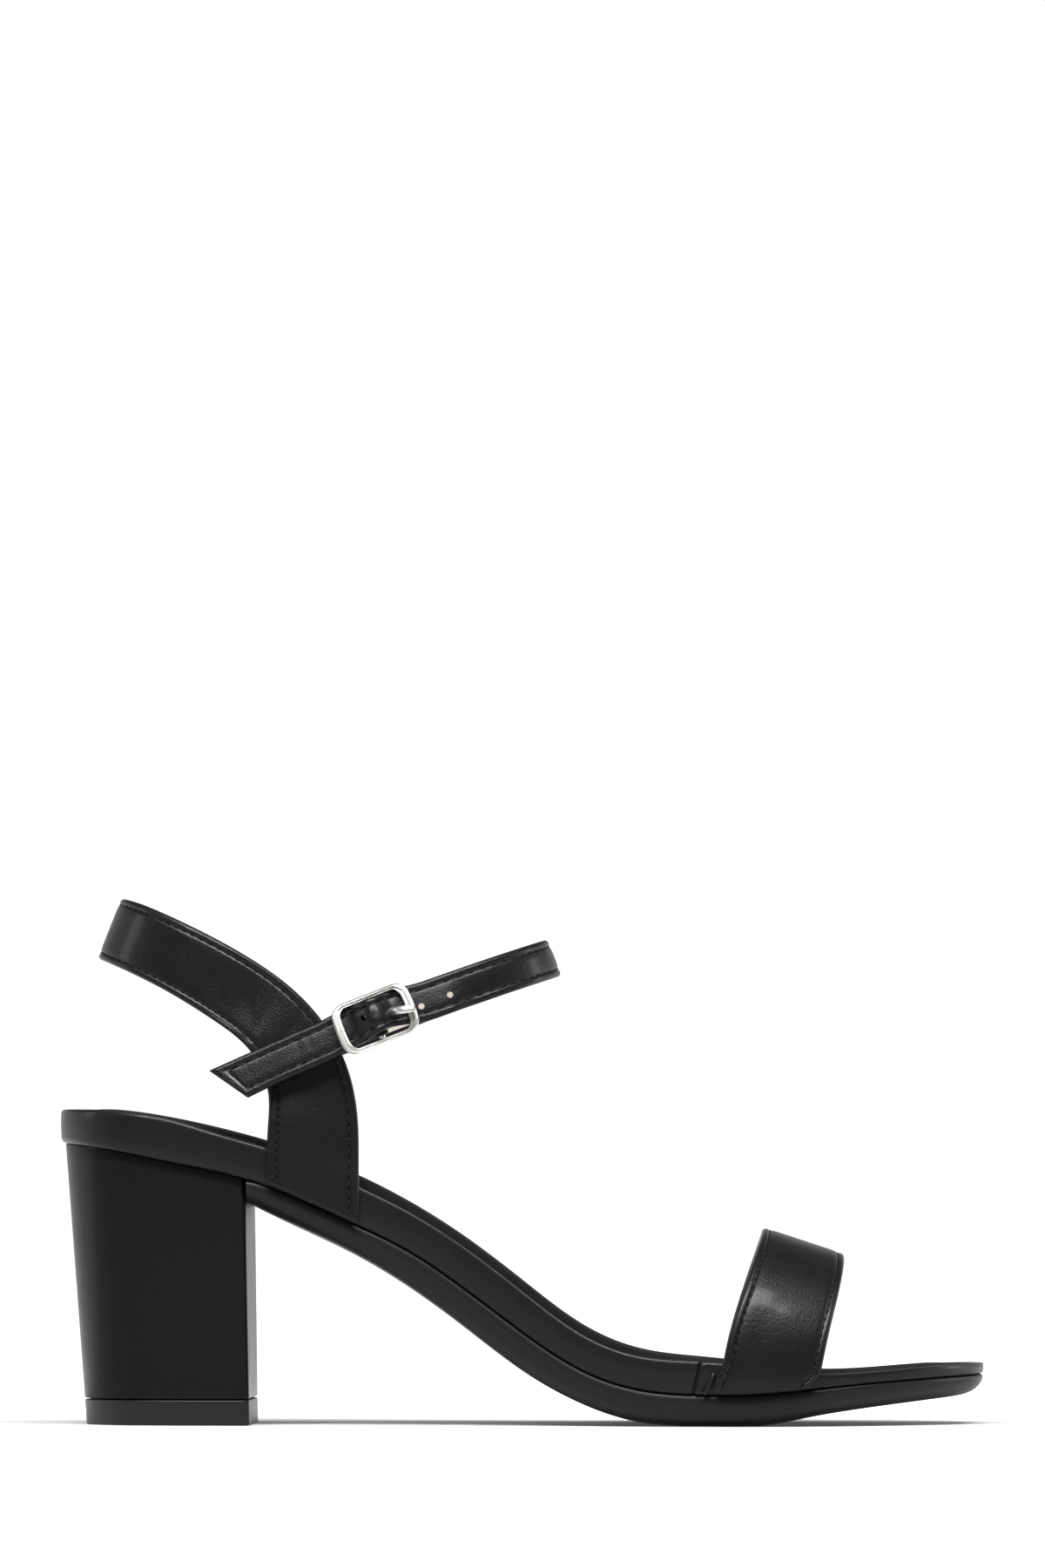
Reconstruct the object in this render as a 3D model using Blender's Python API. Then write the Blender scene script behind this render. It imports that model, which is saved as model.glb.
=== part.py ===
"""Ankle strap sandal on a block heel, for the right foot.

Sizes are in millimetres until a mesh is made: x runs to the toe, y to the inner side of the foot
and z up. The floor is z = 0. The sole, the footbed and the insole are plates through the same
sections, and the straps are flat ovals carried over surfaces of two parameters.
"""
from math import cos, pi, radians, sin, sqrt, tan

import bmesh
import bpy
import numpy as np

MM = 0.001
GAP = 0.3                 # clearance between pieces that touch

# Driving sizes of the sole
HALF_LENGTH = 120.0       # half of the length from heel back to toe tip
HEEL_RADIUS = 27.0        # plan radius at the back of the heel
TOE_RADIUS = 23.0         # plan radius at the toe tip
TOE_SWING = 6.0           # how far the toe tip turns to the inner side
TREAD = (40.0, 60.0)      # the flat of the forefoot that stands on the floor
RECESS = 1.2              # depth of the footbed's tray under the insole
RAND_WALL = 2.2           # width of the footbed's rim round that tray

# A row for each section: half widths from the axis, then the heights of the insole's top,
# the rand's ridge, the seam under the rand and the outsole's underside
SOLE_COLUMNS = ("x", "lateral", "medial", "bed", "ridge", "seam", "ground")
SOLE_ROWS = (
    (-120, 0.0, 0.0, 81.6, 80.6, 72.9, 80.0),
    (-105, 24.0, 23.4, 81.0, 79.9, 70.6, 73.3),
    (-90, 27.8, 27.0, 78.8, 77.7, 67.5, 66.4),
    (-75, 28.8, 27.2, 75.4, 74.0, 64.3, 59.3),
    (-60, 28.8, 26.2, 71.0, 69.4, 59.2, 51.9),
    (-45, 28.4, 24.6, 65.1, 62.8, 52.5, 44.8),
    (-30, 28.2, 23.2, 57.6, 55.5, 45.2, 36.0),
    (-15, 28.9, 22.8, 48.2, 46.1, 35.2, 25.2),
    (0, 30.9, 24.2, 36.9, 34.7, 24.0, 14.0),
    (15, 34.2, 27.6, 25.8, 23.8, 14.4, 5.7),
    (30, 38.0, 32.0, 19.3, 18.1, 9.4, 1.0),
    (45, 41.0, 35.8, 17.1, 16.8, 8.1, 0.0),
    (60, 41.8, 37.6, 15.5, 15.3, 8.2, 0.0),
    (75, 39.9, 37.0, 13.8, 13.7, 9.6, 2.5),
    (90, 34.7, 33.2, 14.1, 14.0, 11.0, 4.7),
    (105, 25.6, 25.0, 15.3, 15.2, 12.1, 6.4),
    (120, 0.0, 0.0, 16.0, 15.9, 13.0, 7.8),
)

# Profiles round the edges of the plates: how far a ring lies inside the rand's outline, and its
# share of the way from the plate's top to its underside
RAND_RINGS = ((1.4, 0.0), (0.5, 0.05), (0.0, 0.18), (0.0, 0.55), (0.3, 0.82), (1.0, 0.94), (2.6, 1.0))
INSOLE_RINGS = ((6.5, 0.0), (4.1, 0.12), (2.9, 0.4), (2.5, 0.75), (2.8, 1.0))
OUTSOLE_RINGS = ((1.0, 0.0), (0.5, 0.06), (0.4, 0.3), (1.1, 0.55), (2.6, 0.78), (5.0, 0.94), (8.5, 1.0))
PLATE_ACROSS = 4          # spans across the top and the underside of a plate

# Driving sizes of the heel
HEEL_FRONT = -71.0        # the breast at the seat, on the shoe's axis
HEEL_BREAST_SLANT = 1.3   # how much further forward it stands at the floor
HEEL_TURN = tan(radians(1.0))  # the breast faces to the outer side by this slope
HEEL_INSET = 1.3          # the rand stands proud of the heel's top by this
HEEL_TAPER = 3.4          # what each side draws in from the seat to the floor
HEEL_BACK_SLANT = 2.4     # what the back draws in besides
HEEL_HEIGHT = 72.0        # height over which it tapers
HEEL_ROUND = 0.8          # rounding of its edges
TIP_HEIGHT = 6.5          # the rubber top piece
TIP_ROUND = 0.5           # rounding of its edges

# Driving sizes of the straps
STRAP_WALL = 2.0          # folded leather with its lining
FOOT_CLEAR = 0.4          # how far a strap's foot ends above the seam

# The toe strap from its lateral foot to its top, a row for each section: the share of its length
# from foot to foot, the middle of its width along x and half that width
TOE_STRAP_COLUMNS = ("share", "x", "half")
TOE_STRAP_ROWS = (
    (0.0, 59.9, 11.5),     # end at the seam
    (0.14, 63.3, 12.5),    # top of the rand
    (0.22, 66.3, 12.0),    # side of the forefoot
    (0.29, 68.9, 11.5),    # knuckle
    (0.41, 71.7, 10.8),    # shoulder
    (0.5, 72.2, 10.6),     # top
)
TOE_STRAP_FOOT = 0.14     # share of its length that lies beside the rand at either end
TOE_STRAP_SKEW = 3.0      # how much further forward its medial foot stands
TOE_STRAP_TOP = 47.66      # height over the toes in the middle of its width
TOE_STRAP_FALL = 0.33     # its fall per millimetre towards the toe
TOE_STRAP_SHOULDER = 2.15  # exponent of the arch: 2 is an ellipse, more is squarer
TOE_STRAP_SPRING = 1.5    # the arch springs from this far below the rand's ridge
TOE_STRAP_CURL = 0.6      # how far its ends turn in under the rand
TOE_STRAP_CURL_RUN = 0.38  # the share of the foot over which they do

# The heel strap from its lateral foot to the back of the heel, a row for each section: both
# edges seen from the side, and how far the middle lies from the axis on either side
HEEL_STRAP_COLUMNS = ("front_x", "front_z", "rear_x", "rear_z", "lateral", "medial")
HEEL_STRAP_ROWS = (
    (-42.1, 51.5, -65.8, 62.0, 29.9, 27.8),      # curled end at the seam
    (-42.0, 55.0, -65.7, 65.0, 30.3, 28.2),      # side of the rand
    (-42.0, 66.0, -65.5, 74.4, 30.2, 28.2),      # top of the rand
    (-42.5, 81.0, -65.2, 84.0, 28.9, 27.8),      # upright
    (-46.0, 94.5, -67.0, 91.0, 27.9, 27.5),      # start of the bend
    (-54.8, 107.8, -71.2, 97.5, 27.3, 27.1),     # end of the bend
    (-70.5, 120.2, -80.3, 104.6, 25.6, 25.4),    # slope to the back
    (-88.5, 129.9, -93.3, 112.5, 20.2, 20.2),    # behind the ankle bone
    (-99.2, 134.7, -104.8, 118.2, 11.6, 11.6),   # turn
    (-103.4, 136.2, -109.6, 120.4, 0.0, 0.0),    # middle of the back
)
HEEL_STRAP_HALF = 9.4     # half its width, which sets how round its edges are
MEDIAL_BACK = 1.6         # the medial half lies this much further back at its foot
MEDIAL_RISE = 1.8         # and this much higher at the ankle

# Driving sizes of the ankle strap, whose middle line lies in a plane that rises to the toe.
# Along it, p is measured forwards from the buckle's centre
BUCKLE_X = -37.6
BUCKLE_Z = 103.9
PITCH = radians(21.6)
ANKLE_WALL = 1.8
ANKLE_WIDTH = 10.2
ANKLE_TIP = -41.2         # p at the middle of the slanted tip
ANKLE_TIP_SKEW = 3.4      # the tip's upper corner lies this much further back than its middle
ANKLE_SKEW_RUN = 14.0     # length over which that slant dies out
ANKLE_LATERAL = -29.5     # y of the outer run, over the heel strap
ANKLE_MEDIAL = 28.7       # y of the inner run, sunk into the heel strap where it is sewn on
ANKLE_TURN = 4.0          # p where the runs turn into the front's ellipse
ANKLE_FRONT = 47.7        # p of the front
ANKLE_MEDIAL_END = -21.0  # p of the sewn end
ANKLE_SAG = 1.3           # what the ends lie below the plane
BULGE = 3.3               # how far the strap rises over the centre bar
BULGE_RUN = 3.6           # and over what length
HOLE_FIRST = -3.0         # p of the rearmost hole
HOLE_STEP = 7.75
HOLE_RADIUS = 1.1
HOLE_COUNT = 4
PRONG_HOLE = 1            # number of the hole that the prong uses, from the rear
PRONG_SLOT = 2.3          # half the length that the prong stretches it to

# Driving sizes of the buckle, in the strap's plane: p along the strap and w across it
FRAME_HALF_P = 8.8        # to the middle of the end bars
FRAME_HALF_W = 6.05       # to the middle of the rails
FRAME_CORNER = 3.4
FRAME_BOW = 0.5           # how far the end bars bow out
FRAME_BAR = 1.0           # half width of the end bars
FRAME_RAIL = 0.55         # half width of the rails
FRAME_DEPTH = 1.0         # half depth of the metal
FRAME_Y = -30.6           # y of the rails at the centre bar
FRAME_RISE = 1.1          # how far the end bars stand further out
FRAME_SIDES = 8           # facets round the metal
CENTRE_BAR_Y = -29.6
CENTRE_BAR_RADIUS = 0.8
CENTRE_BAR_SIDES = 10
PRONG_RADIUS = 0.6        # half its thickness
PRONG_HALF_WIDTH = 0.72
PRONG_ROUND = 0.25        # rounding of its edges
PRONG_EYE = 1.65          # radius of its eye's middle line round the centre bar
PRONG_W = 1.0             # where its eye sits on the bar
PRONG_SLANT = 0.19        # what it drifts downwards per millimetre
PRONG_PAST = 1.5          # its tip lies this far beyond the middle of the front end bar

# The prong's shank through its hole, as distances along the strap from the hole's middle and
# the share of the way from the centre bar out to where it rests on the end bar
PRONG_COLUMNS = ("past_hole", "out")
PRONG_ROWS = ((-1.7, -0.03), (0.0, 0.27), (1.5, 0.73), (3.0, 1.05))

TAB_WALL = 0.9
TAB_HALF_WIDTH = 4.2
TAB_LOOP = 1.55           # radius of its loop's middle line round the centre bar
TAB_INNER = -24.9         # y of its strip along the inner face of the heel strap
TAB_SLOT = 4.0            # half the length of the prong's slot
TAB_SLOT_P = 0.8          # p of that slot's middle

# The tab's strip before its loop: p, and the share of the way from the inner face to the loop
TAB_COLUMNS = ("p", "out")
TAB_ROWS = ((-19.0, 0.0), (-14.0, 0.0), (-10.0, 0.06), (-6.0, 0.48), (-3.2, 0.89), (0.0, 1.0))

# Colours of the finishes, as linear values, with roughness and metallic value
FINISHES = {
    "black leather": ((0.012, 0.012, 0.013), 0.42, 0.0),
    "black sole": ((0.016, 0.016, 0.017), 0.5, 0.0),
    "black rubber": ((0.014, 0.014, 0.014), 0.6, 0.0),
    "black sock": ((0.015, 0.015, 0.016), 0.55, 0.0),
    "nickel": ((0.78, 0.78, 0.80), 0.18, 1.0),
}


def spline(xs, ys):
    """Natural cubic through the points (xs, ys), as a function that takes arrays."""
    xs = np.asarray(xs, float)
    ys = np.asarray(ys, float)
    h = np.diff(xs)
    slope = np.diff(ys) / h
    system = np.eye(len(xs))
    right = np.zeros(len(xs))
    for i in range(1, len(xs) - 1):
        system[i, i - 1:i + 2] = h[i - 1], 2 * (h[i - 1] + h[i]), h[i]
        right[i] = 6 * (slope[i] - slope[i - 1])
    bend = np.linalg.solve(system, right)

    def value(x):
        x = np.asarray(x, float)
        i = np.clip(np.searchsorted(xs, x) - 1, 0, len(h) - 1)
        a = x - xs[i]
        b = xs[i + 1] - x
        cubic = (bend[i] * b ** 3 + bend[i + 1] * a ** 3) / (6 * h[i])
        left = (ys[i] / h[i] - bend[i] * h[i] / 6) * b
        return cubic + left + (ys[i + 1] / h[i] - bend[i + 1] * h[i] / 6) * a

    return value


def columns(names, rows):
    """The rows' columns by name."""
    return dict(zip(names, np.array(rows, float).T))


def solid(name, finish, sections, start_cap=False, end_cap=False, closed=False):
    """An object lofted through sections, an array of rings of points in millimetres.

    A ring joins the next one with quads. Rings that have drawn together to a point or a line
    at the end of a plate are merged.
    """
    count, around = sections.shape[:2]
    mesh = bpy.data.meshes.new(name)
    form = bmesh.new()
    verts = [form.verts.new(point) for point in sections.reshape(-1, 3) * MM]
    for i in range(count if closed else count - 1):
        for j in range(around):
            near = i * around
            far = (i + 1) % count * around
            k = (j + 1) % around
            form.faces.new((verts[near + j], verts[near + k], verts[far + k], verts[far + j]))
    if start_cap:
        form.faces.new(verts[:around][::-1])
    if end_cap:
        form.faces.new(verts[-around:])
    bmesh.ops.remove_doubles(form, verts=form.verts, dist=0.004 * MM)
    bmesh.ops.dissolve_degenerate(form, edges=form.edges, dist=0.002 * MM)
    bmesh.ops.recalc_face_normals(form, faces=form.faces)
    form.to_mesh(mesh)
    form.free()
    mesh.shade_smooth()
    mesh.set_sharp_from_angle(angle=radians(40))
    mesh.materials.append(finish)
    piece = bpy.data.objects.new(name, mesh)
    bpy.context.scene.collection.objects.link(piece)
    return piece


def finish_named(name):
    """A Principled material from the table of finishes."""
    colour, roughness, metallic = FINISHES[name]
    material = bpy.data.materials.new(name)
    material.use_nodes = True
    shader = material.node_tree.nodes["Principled BSDF"]
    shader.inputs["Base Color"].default_value = (*colour, 1.0)
    shader.inputs["Roughness"].default_value = roughness
    shader.inputs["Metallic"].default_value = metallic
    return material


def cut(piece, cutter, operation):
    """A Boolean of the piece with a cutter, which stays in the file as a guide."""
    cutter.hide_render = True
    cutter.display_type = "WIRE"
    modifier = piece.modifiers.new(operation.lower() + " " + cutter.name, "BOOLEAN")
    modifier.operation = operation
    modifier.solver = "EXACT"
    modifier.object = cutter


# The last's plan and heights
SOLE = columns(SOLE_COLUMNS, SOLE_ROWS)


def fullness(side):
    """The half width of one side divided by that of an ellipse, as a smooth function of x."""
    inner = slice(1, -1)
    ellipse = np.sqrt(1 - (SOLE["x"][inner] / HALF_LENGTH) ** 2)
    heel_end = sqrt(HEEL_RADIUS * HALF_LENGTH)
    toe_end = sqrt(TOE_RADIUS * HALF_LENGTH)
    return spline(SOLE["x"], [heel_end, *(SOLE[side][inner] / ellipse), toe_end])


FULL = {-1: fullness("lateral"), 1: fullness("medial")}
bed = spline(SOLE["x"], SOLE["bed"])
ridge = spline(SOLE["x"], SOLE["ridge"])
seam = spline(SOLE["x"], SOLE["seam"])
underside = spline(SOLE["x"], SOLE["ground"])


def ground(x):
    """Height of the outsole's underside: the curve of the table, flat along the tread."""
    standing = (x >= TREAD[0]) & (x <= TREAD[1])
    return np.where(standing, 0.0, np.maximum(underside(x), 0.0))


def axis(x):
    """The y of the sole's middle line, which turns to the inner side at the toe."""
    return TOE_SWING * ((x + HALF_LENGTH) / (2 * HALF_LENGTH)) ** 3


def plan(theta, side):
    """Point of the rand's outline: theta is 0 at the heel's back and pi at the toe tip."""
    x = -HALF_LENGTH * np.cos(theta)
    return x, axis(x) + side * np.sin(theta) * FULL[side](x)


def inset_plan(theta, side, inset):
    """The outline moved inwards, square to itself."""
    step = 1e-4
    x0, y0 = plan(theta - step, side)
    x1, y1 = plan(theta + step, side)
    run = np.hypot(x1 - x0, y1 - y0)
    x, y = plan(theta, side)
    return x + side * inset * (y1 - y0) / run, y - side * inset * (x1 - x0) / run


def half_width(x, side):
    """The outline's y at x, on one side."""
    return plan(np.arccos(-np.clip(x / HALF_LENGTH, -1, 1)), side)[1]


def plate(theta, rings, across):
    """Sections of a plate, one for each theta: down the lateral rings, over and back up.

    A ring is an inset from the outline and a height as a function of x. The first ring bounds
    the top and the last one the underside, both spanned by points in between.
    """
    def points(side, ring):
        inset, height = ring
        x, y = inset_plan(theta, side, inset)
        return np.stack([x, y, height(x)], axis=-1)

    def span(start, end, height):
        for share in np.linspace(0, 1, across + 1)[1:-1]:
            middle = start + (end - start) * share
            middle[:, 2] = height(middle[:, 0])
            yield middle

    lateral = [points(-1, ring) for ring in rings]
    medial = [points(1, ring) for ring in rings]
    under = span(lateral[-1], medial[-1], rings[-1][1])
    over = span(medial[0], lateral[0], rings[0][1])
    return np.stack([*lateral, *under, *medial[::-1], *over], axis=1)


def level(top, bottom, share):
    """A height that is a share of the way from one height function down to another."""
    return lambda x: top(x) + (bottom(x) - top(x)) * share


def lower(height, drop):
    """A height function moved down."""
    return lambda x: height(x) - drop


def ring_list(profile, top, bottom):
    """The rings of a plate's edge, from its profile and the heights of its top and underside."""
    return [(inset, level(top, bottom, share)) for inset, share in profile]


def make_footbed(finish):
    """The wrapped board: a tray with a rounded rim, whose outer side is the rand."""
    tray = (RAND_WALL, lower(ridge, RECESS))
    lip = (RAND_WALL, ridge)
    rings = [tray, lip, *ring_list(RAND_RINGS, ridge, seam)]
    solid("footbed", finish, plate(np.linspace(0, pi, 45), rings, PLATE_ACROSS))


def make_insole(finish):
    """The padded sock in the footbed's tray, round at its edge."""
    rings = ring_list(INSOLE_RINGS, bed, lower(ridge, RECESS - GAP))
    solid("insole", finish, plate(np.linspace(0, pi, 41), rings, PLATE_ACROSS))


def breast(y, z):
    """The x of the heel's front face."""
    return HEEL_FRONT + HEEL_TURN * y + HEEL_BREAST_SLANT * (1 - z / HEEL_HEIGHT)


def make_outsole(finish):
    """The moulded sole from the breast to the toe, its side rounded under to a flat tread."""
    rings = ring_list(OUTSOLE_RINGS, lower(seam, GAP), ground)
    front = breast(half_width(HEEL_FRONT, 1), ground(HEEL_FRONT)) + GAP
    theta = np.linspace(np.arccos(-front / HALF_LENGTH), pi, 37)
    theta = np.sort(np.append(theta, [np.arccos(-x / HALF_LENGTH) for x in TREAD]))
    sections = plate(theta, rings, PLATE_ACROSS)
    start = sections[0]
    start[:, 0] = breast(start[:, 1], start[:, 2]) + GAP
    solid("outsole", finish, sections, start_cap=True)


def heel_ring(height):
    """The heel's D at a height, which may differ from point to point, as an array of x, y, z."""
    theta_front = float(np.arccos(-HEEL_FRONT / HALF_LENGTH))
    theta = theta_front * np.sin(np.linspace(0, pi / 2, 17))
    corners = [0, -1]

    def edge(share, z):
        inset = HEEL_INSET + HEEL_TAPER * np.broadcast_to(share, 2 * len(theta) - 1)
        lateral = np.stack(inset_plan(theta[::-1], -1, inset[:len(theta)]))
        medial = np.stack(inset_plan(theta[1:], 1, inset[len(theta):]))
        x, y = np.concatenate([lateral, medial], axis=1)
        front = breast(y, z)
        slant = HEEL_BACK_SLANT * share * (front - x) / (front + HALF_LENGTH)
        x = np.minimum(x + slant, front)
        x[corners] = front[corners]
        return x, y

    x, y = edge(0.0, HEEL_HEIGHT)
    z = height(x)
    x, y = edge(1 - z / HEEL_HEIGHT, z)
    points = np.stack([x, y, z], axis=-1)
    share = np.linspace(0, 1, 8)[1:-1, None]
    flat = points[-1] + (points[0] - points[-1]) * share
    return np.concatenate([points, flat])


def make_heel(finish):
    """The block heel, from the top piece to the curve of the seat."""
    seat = lower(seam, GAP)
    base = TIP_HEIGHT + GAP
    rings = []
    for share in np.linspace(0, 1, 7):
        rings.append(heel_ring(lambda x, share=share: base + (seat(x) - base) * share))
    piece = solid("heel", finish, np.stack(rings), start_cap=True, end_cap=True)
    soften(piece, HEEL_ROUND)


def make_heel_tip(finish):
    """The rubber top piece, flat on the floor."""
    rings = [heel_ring(lambda x, z=z: np.full_like(x, z)) for z in (0.0, TIP_HEIGHT)]
    piece = solid("heel_tip", finish, np.stack(rings), start_cap=True, end_cap=True)
    soften(piece, TIP_ROUND)


def soften(piece, width):
    """Rounds the sharp edges."""
    bevel = piece.modifiers.new("rounded edges", "BEVEL")
    bevel.width = width * MM
    bevel.segments = 2
    bevel.limit_method = "ANGLE"
    bevel.angle_limit = radians(50)


def oval(half_width_mm, wall, across):
    """A strap's section: across its width from -1 to 1, and its offset from the middle surface."""
    radius = wall / 2
    flat = np.linspace(-1, 1, across) * (half_width_mm - radius)
    turn = np.radians((50, 0, -50))
    round_edge = half_width_mm - radius + radius * np.cos(turn)
    v = np.concatenate([flat, round_edge, flat[::-1], -round_edge[::-1]])
    h = np.concatenate([np.full(across, radius), radius * np.sin(turn),
                        np.full(across, -radius), radius * np.sin(turn)[::-1]])
    return v / half_width_mm, h


def strap(surface, t, half_width_mm, wall, across=4):
    """Sections of a strap: the oval laid on surface(t, v), offset along its normal."""
    v, h = oval(half_width_mm, wall, across)
    t, v = np.meshgrid(t, v, indexing="ij")
    step = 1e-4
    along = surface(t + step, v) - surface(t - step, v)
    over = surface(t, v + step) - surface(t, v - step)
    normal = np.cross(along, over)
    normal /= np.linalg.norm(normal, axis=-1, keepdims=True)
    return surface(t, v) + normal * h[..., None]


TOE_STRAP = columns(TOE_STRAP_COLUMNS, TOE_STRAP_ROWS)


def mirrored(name):
    """A column of the toe strap's table as a function of the share from foot to foot."""
    share = np.concatenate([TOE_STRAP["share"], 1 - TOE_STRAP["share"][-2::-1]])
    return spline(share, np.concatenate([TOE_STRAP[name], TOE_STRAP[name][-2::-1]]))


TOE_STRAP_MIDDLE = mirrored("x")
TOE_STRAP_HALF = mirrored("half")


def toe_strap_surface(t, v):
    """Middle surface of the toe strap: t from the lateral foot to the medial, v rear to front.

    Its feet stand beside the rand and curl under it, and a rounded arch joins them.
    """
    share = np.clip((t - TOE_STRAP_FOOT) / (1 - 2 * TOE_STRAP_FOOT), 0, 1)
    power = 2 / TOE_STRAP_SHOULDER
    rise = np.abs(np.sin(pi * share)) ** power
    reach = np.abs(np.cos(pi * share)) ** power
    x = TOE_STRAP_MIDDLE(t) + TOE_STRAP_SKEW * t ** 2 + v * TOE_STRAP_HALF(t)
    clear = GAP + STRAP_WALL / 2
    side = np.where(share < 0.5, half_width(x, -1) - clear, half_width(x, 1) + clear)
    y = axis(x) + (side - axis(x)) * reach
    top = TOE_STRAP_TOP - TOE_STRAP_FALL * (x - TOE_STRAP_ROWS[-1][1]) - STRAP_WALL / 2
    base = ridge(x) - TOE_STRAP_SPRING
    below = np.clip(1 - np.minimum(t, 1 - t) / TOE_STRAP_FOOT, 0, None)
    z = base + (top - base) * rise - below * (base - seam(x) - FOOT_CLEAR)
    curl = TOE_STRAP_CURL * np.clip(1 - (1 - below) / TOE_STRAP_CURL_RUN, 0, None) ** 2
    return np.stack([x, y - np.sign(y) * curl, z], axis=-1)


def make_toe_strap(finish):
    """The band over the toes."""
    foot = np.linspace(0, TOE_STRAP_FOOT, 6)
    arch = np.linspace(TOE_STRAP_FOOT, 1 - TOE_STRAP_FOOT, 28)[1:-1]
    t = np.concatenate([foot, arch, 1 - foot[::-1]])
    sections = strap(toe_strap_surface, t, max(TOE_STRAP["half"]), STRAP_WALL, across=5)
    solid("toe_strap", finish, sections, start_cap=True, end_cap=True)


def heel_strap_surface():
    """Middle surface of the heel strap as a function of t, from foot to foot, and v across it."""
    rows = columns(HEEL_STRAP_COLUMNS, HEEL_STRAP_ROWS)
    share = rows["medial"] / rows["medial"].max()

    def edge(end, side, back, rise):
        x = rows[end + "_x"] - back * share
        z = rows[end + "_z"] + rise * share
        y = -rows["lateral"] if side < 0 else rows["medial"]
        return np.stack([x, y, z], axis=-1)

    edges = {}
    for end in ("front", "rear"):
        lateral = edge(end, -1, 0.0, 0.0)
        medial = edge(end, 1, MEDIAL_BACK, MEDIAL_RISE)
        edges[end] = np.concatenate([lateral, medial[-2::-1]])
    middle = (edges["front"] + edges["rear"]) / 2
    run = np.concatenate([[0], np.cumsum(np.linalg.norm(np.diff(middle, axis=0), axis=1))])
    run /= run[-1]
    curves = {end: [spline(run, edges[end][:, k]) for k in range(3)] for end in edges}

    def surface(t, v):
        front = np.stack([curve(t) for curve in curves["front"]], axis=-1)
        rear = np.stack([curve(t) for curve in curves["rear"]], axis=-1)
        return rear + (front - rear) * ((1 + v) / 2)[..., None]

    return surface


def bulge(p):
    """How far the ankle strap stands out over the centre bar."""
    return BULGE * np.exp(-(p / BULGE_RUN) ** 2)


def in_plane(p, w, y):
    """The point at p along the strap's plane and w across the strap, at a given y."""
    x = BUCKLE_X + p * cos(PITCH) - w * sin(PITCH)
    z = BUCKLE_Z + p * sin(PITCH) + w * cos(PITCH)
    return np.stack(np.broadcast_arrays(x, y, z), axis=-1)


def ankle_strap_surface(s, v):
    """Middle surface of the ankle strap: s is the length from its tip, v runs upwards across it.

    A straight run over the buckle, half an ellipse round the front and a straight run to the
    sewn end, with the bulge over the centre bar and the slanted tip.
    """
    reach = ANKLE_FRONT - ANKLE_TURN
    half = (ANKLE_MEDIAL - ANKLE_LATERAL) / 2
    centre = (ANKLE_MEDIAL + ANKLE_LATERAL) / 2
    lateral_run = ANKLE_TURN - ANKLE_TIP
    arc = ankle_arc()
    angle = np.clip((s - lateral_run) / arc, 0, 1) * pi - pi / 2
    past = np.maximum(s - lateral_run - arc, 0)
    p = np.minimum(s + ANKLE_TIP, ANKLE_TURN) + reach * np.cos(angle) - past
    y = centre + half * np.sin(angle)
    y = y - bulge(p) * (y < 0)
    slant = np.clip(1 - s / ANKLE_SKEW_RUN, 0, None) ** 1.5
    sag = ANKLE_SAG * (p / ANKLE_TIP) ** 2
    points = in_plane(p - ANKLE_TIP_SKEW * slant * v, v * ANKLE_WIDTH / 2 - sag, y)
    points[..., 2] += MEDIAL_RISE * (y - ANKLE_LATERAL) / (2 * half)
    return points


def ankle_arc():
    """Length given to the front's half ellipse, by the usual estimate of an ellipse's girth."""
    a = ANKLE_FRONT - ANKLE_TURN
    b = (ANKLE_MEDIAL - ANKLE_LATERAL) / 2
    return pi / 2 * (3 * (a + b) - sqrt((3 * a + b) * (a + 3 * b)))


def peg(name, finish, p, w, half_p, radius, y_range, sides=14):
    """An upright with an oval section through the outer run of the ankle strap."""
    turn = np.linspace(0, 2 * pi, sides, endpoint=False)
    ring_p = p + (half_p - radius) * np.sign(np.cos(turn)) + radius * np.cos(turn)
    ring_w = w + radius * np.sin(turn)
    rings = [in_plane(ring_p, ring_w, np.full(sides, y)) for y in y_range]
    return solid(name, finish, np.stack(rings), start_cap=True, end_cap=True)


def make_ankle_upper(finish):
    """The heel strap, the ankle strap sewn to its medial half, and the holes of the latter."""
    sections = strap(heel_strap_surface(), np.linspace(0, 1, 53), HEEL_STRAP_HALF, STRAP_WALL)
    upper = solid("ankle_upper", finish, sections, start_cap=True, end_cap=True)

    length = ANKLE_TURN - ANKLE_TIP + ankle_arc() + ANKLE_TURN - ANKLE_MEDIAL_END
    near_buckle = -ANKLE_TIP + FRAME_HALF_P * np.linspace(-1, 1, 15)
    s = np.concatenate([
        np.linspace(0, near_buckle[0], 10)[:-1],
        near_buckle,
        np.linspace(near_buckle[-1], length, 34)[1:],
    ])
    sections = strap(ankle_strap_surface, s, ANKLE_WIDTH / 2, ANKLE_WALL)
    ankle = solid("ankle_strap", finish, sections, start_cap=True, end_cap=True)
    through = (ANKLE_LATERAL - 2 * BULGE, ANKLE_LATERAL + 2 * BULGE)
    for number in range(HOLE_COUNT):
        p = HOLE_FIRST + HOLE_STEP * number
        taken = number == PRONG_HOLE
        w = PRONG_W - PRONG_SLANT * p if taken else 0.0
        half_p = PRONG_SLOT if taken else HOLE_RADIUS
        hole = peg(f"hole_{number}", finish, p, w, half_p, HOLE_RADIUS, through)
        cut(ankle, hole, "DIFFERENCE")
    cut(upper, ankle, "UNION")


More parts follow.
